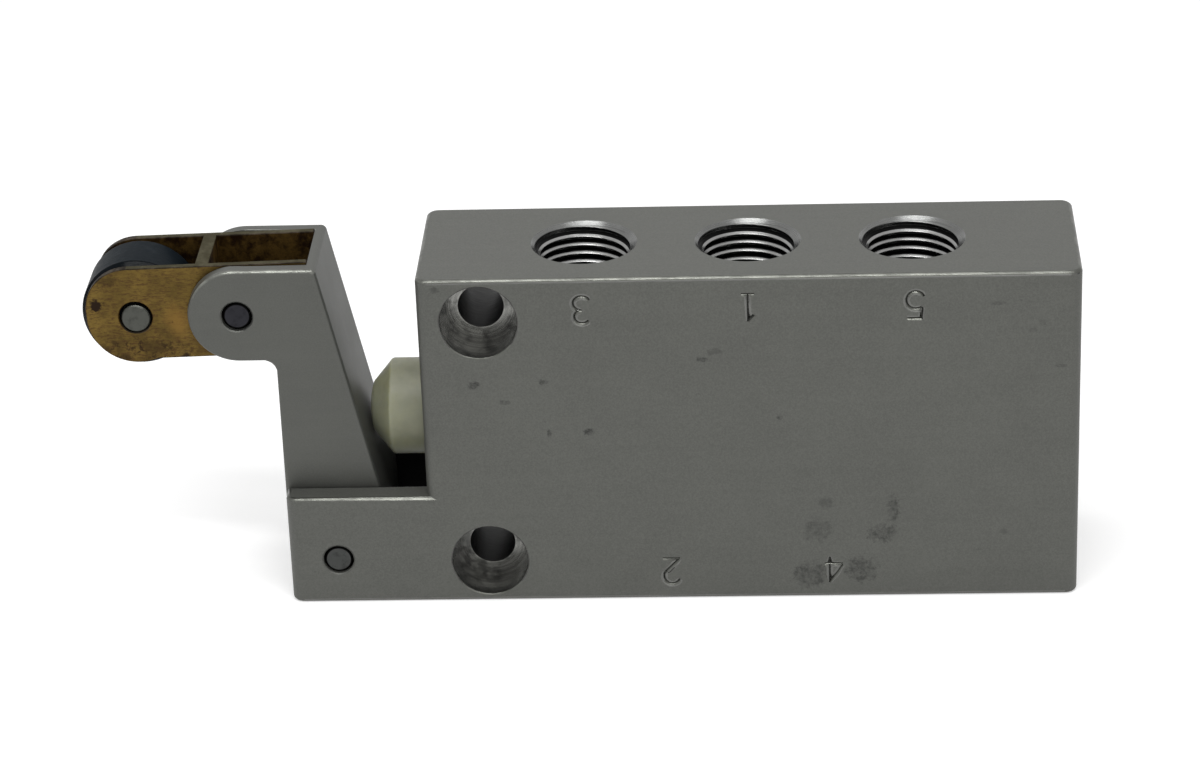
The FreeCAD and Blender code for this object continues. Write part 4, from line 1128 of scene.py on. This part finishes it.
class FinishEnd(Step, bpy.types.Operator):
    """Finish the end plug and its retaining ring"""

    bl_idname = "air_valve.finish_end"
    bl_label = "Finish End"

    def run(self, valve):
        plug = cut_aluminium("plug_turned_aluminium", valve.plunger.plug, 0.35, (6.0, 1.0, 1.0))
        ring = turned_steel("ring_dark_steel", valve.lever.pin, 0.35, 0)
        finished_copy("end_plug", "turned_end_plug", "valve", [plug], valve.block.edge)
        finished_copy("retaining_ring", "dark_retaining_ring", "valve", [ring], valve.block.edge)


def seen_or_reflected(tree):
    """1 for what the camera sees, directly, in a reflection or through glass, else 0."""
    path = add_node(tree, "LightPath")
    seen = maths(tree, "MAXIMUM", path.outputs["Is Camera Ray"], path.outputs["Is Glossy Ray"])
    return maths(tree, "MAXIMUM", seen, path.outputs["Is Transmission Ray"])


def make_floor(settings):
    """A wide pale floor at the foot of the block."""
    half = settings.floor_size / 2
    z = CAD_BOX[0][2]
    mesh = bpy.data.meshes.new("floor")
    corners = [(-half, -half, z), (half, -half, z), (half, half, z), (-half, half, z)]
    mesh.from_pydata(corners, [], [(0, 1, 2, 3)])
    floor = link_object("floor", mesh)
    material, tree = new_material("floor_paper")
    finish(material, rgba(settings.floor_colour), 0.0, 1.0, Specular_IOR_Level=0.0)
    glow = add_node(tree, "Emission", {
        "Color": (1.0, 1.0, 1.0, 1.0),
        "Strength": maths(tree, "MULTIPLY", seen_or_reflected(tree), settings.floor_lift)})
    both = add_node(tree, "AddShader", {
        0: tree.nodes["Principled BSDF"].outputs["BSDF"], 1: glow.outputs["Emission"]})
    tree.links.new(both.outputs["Shader"], tree.nodes["Material Output"].inputs["Surface"])
    mesh.materials.append(material)


def make_world(settings):
    """Even soft light from all round, seen as white."""
    world = bpy.data.worlds.new("studio")
    bpy.context.scene.world = world
    world.use_nodes = True
    tree = world.node_tree
    seen = seen_or_reflected(tree)
    strength = span(tree, seen, 0.0, 1.0, settings.world_strength, 1.0)
    back = tree.nodes["Background"]
    fill(tree, back.inputs["Color"], (1.0, 1.0, 1.0, 1.0))
    fill(tree, back.inputs["Strength"], strength)


# Lamps: name, place from the block's middle and size, both in millimetres, and watts.
LAMPS = [
    ("softbox_above", (-20.0, -165.0, 330.0), (350.0, 42.0), 0.67),
    ("softbox_top", (0.0, 20.0, 420.0), (260.0, 120.0), 0.42),
    ("softbox_front", (120.0, -420.0, 150.0), (420.0, 200.0), 0.3),
    ("softbox_left", (-380.0, -60.0, 200.0), (240.0, 200.0), 0.09),
]


def make_lamps():
    """Softboxes round the valve, all aimed at the block's middle."""
    for name, place, size, watts in LAMPS:
        lamp = bpy.data.lights.new(name, "AREA")
        lamp.shape = "RECTANGLE"
        lamp.size = size[0] * MM
        lamp.size_y = size[1] * MM
        lamp.energy = watts
        holder = link_object(name, lamp)
        at = BLOCK_MIDDLE + Vector(place) * MM
        turn = (BLOCK_MIDDLE - at).to_track_quat("-Z", "Y").to_matrix().to_4x4()
        holder.matrix_world = Matrix.Translation(at) @ turn


def make_camera(settings):
    """The camera at the photograph's angle."""
    azimuth, elevation, roll = settings.azimuth, settings.elevation, settings.roll
    back = Vector((math.sin(azimuth) * math.cos(elevation),
                   -math.cos(azimuth) * math.cos(elevation), math.sin(elevation)))
    level = Vector((math.cos(azimuth), math.sin(azimuth), 0.0))
    upright = back.cross(level)
    right = level * math.cos(roll) + upright * math.sin(roll)
    up = back.cross(right)
    turn = Matrix((right, up, back)).transposed().to_4x4()
    camera = bpy.data.cameras.new("camera")
    camera.sensor_width = SENSOR_WIDTH
    camera.lens = settings.focal_pixels / PHOTO_WIDTH * SENSOR_WIDTH
    camera.clip_start = NEAREST_SEEN
    holder = link_object("camera", camera)
    holder.matrix_world = Matrix.Translation(Vector(settings.aim) + back * settings.distance) @ turn
    bpy.context.scene.camera = holder


class SetStage(Step, bpy.types.Operator):
    """Add the floor, the soft light and the camera"""

    bl_idname = "air_valve.set_stage"
    bl_label = "Set Stage"

    def run(self, valve):
        settings = valve.stage
        bpy.context.scene.view_settings.view_transform = "Standard"
        make_floor(settings)
        make_world(settings)
        make_lamps()
        make_camera(settings)


PIECE_OPERATORS = (
    FinishBlock, CutThreads, FinishLever, FinishLink, FinishRoller, FinishPins,
    FinishPlunger, FinishSprings, FinishStack, FinishEnd, SetStage,
)


class AirValvePanel(bpy.types.Panel):
    """The valve's steps and settings"""

    bl_idname = "VIEW3D_PT_air_valve"
    bl_label = "Air Valve"
    bl_space_type = "VIEW_3D"
    bl_region_type = "UI"
    bl_category = "Air Valve"

    def draw(self, context):
        for operator in PIECE_OPERATORS:
            self.layout.operator(operator.bl_idname)
        for group in ("block", "thread", "lever", "plunger", "stage"):
            settings = getattr(context.scene.air_valve, group)
            box = self.layout.box()
            box.label(text=group.title())
            for key in settings.bl_rna.properties.keys():
                if key not in ("rna_type", "name"):
                    box.prop(settings, key)


CLASSES = (
    BlockFinish, ThreadSizes, LeverFinish, PlungerFinish, StageSettings, AirValveSettings,
    *PIECE_OPERATORS, AirValvePanel,
)


def register():
    for cls in CLASSES:
        bpy.utils.register_class(cls)
    bpy.types.Scene.air_valve = PointerProperty(type=AirValveSettings)


def unregister():
    del bpy.types.Scene.air_valve
    for cls in reversed(CLASSES):
        bpy.utils.unregister_class(cls)


def main():
    """Register the add-on and run each step in order."""
    register()
    for operator in PIECE_OPERATORS:
        group, step = operator.bl_idname.split(".")
        getattr(getattr(bpy.ops, group), step)()


if __name__ == "__main__":
    main()
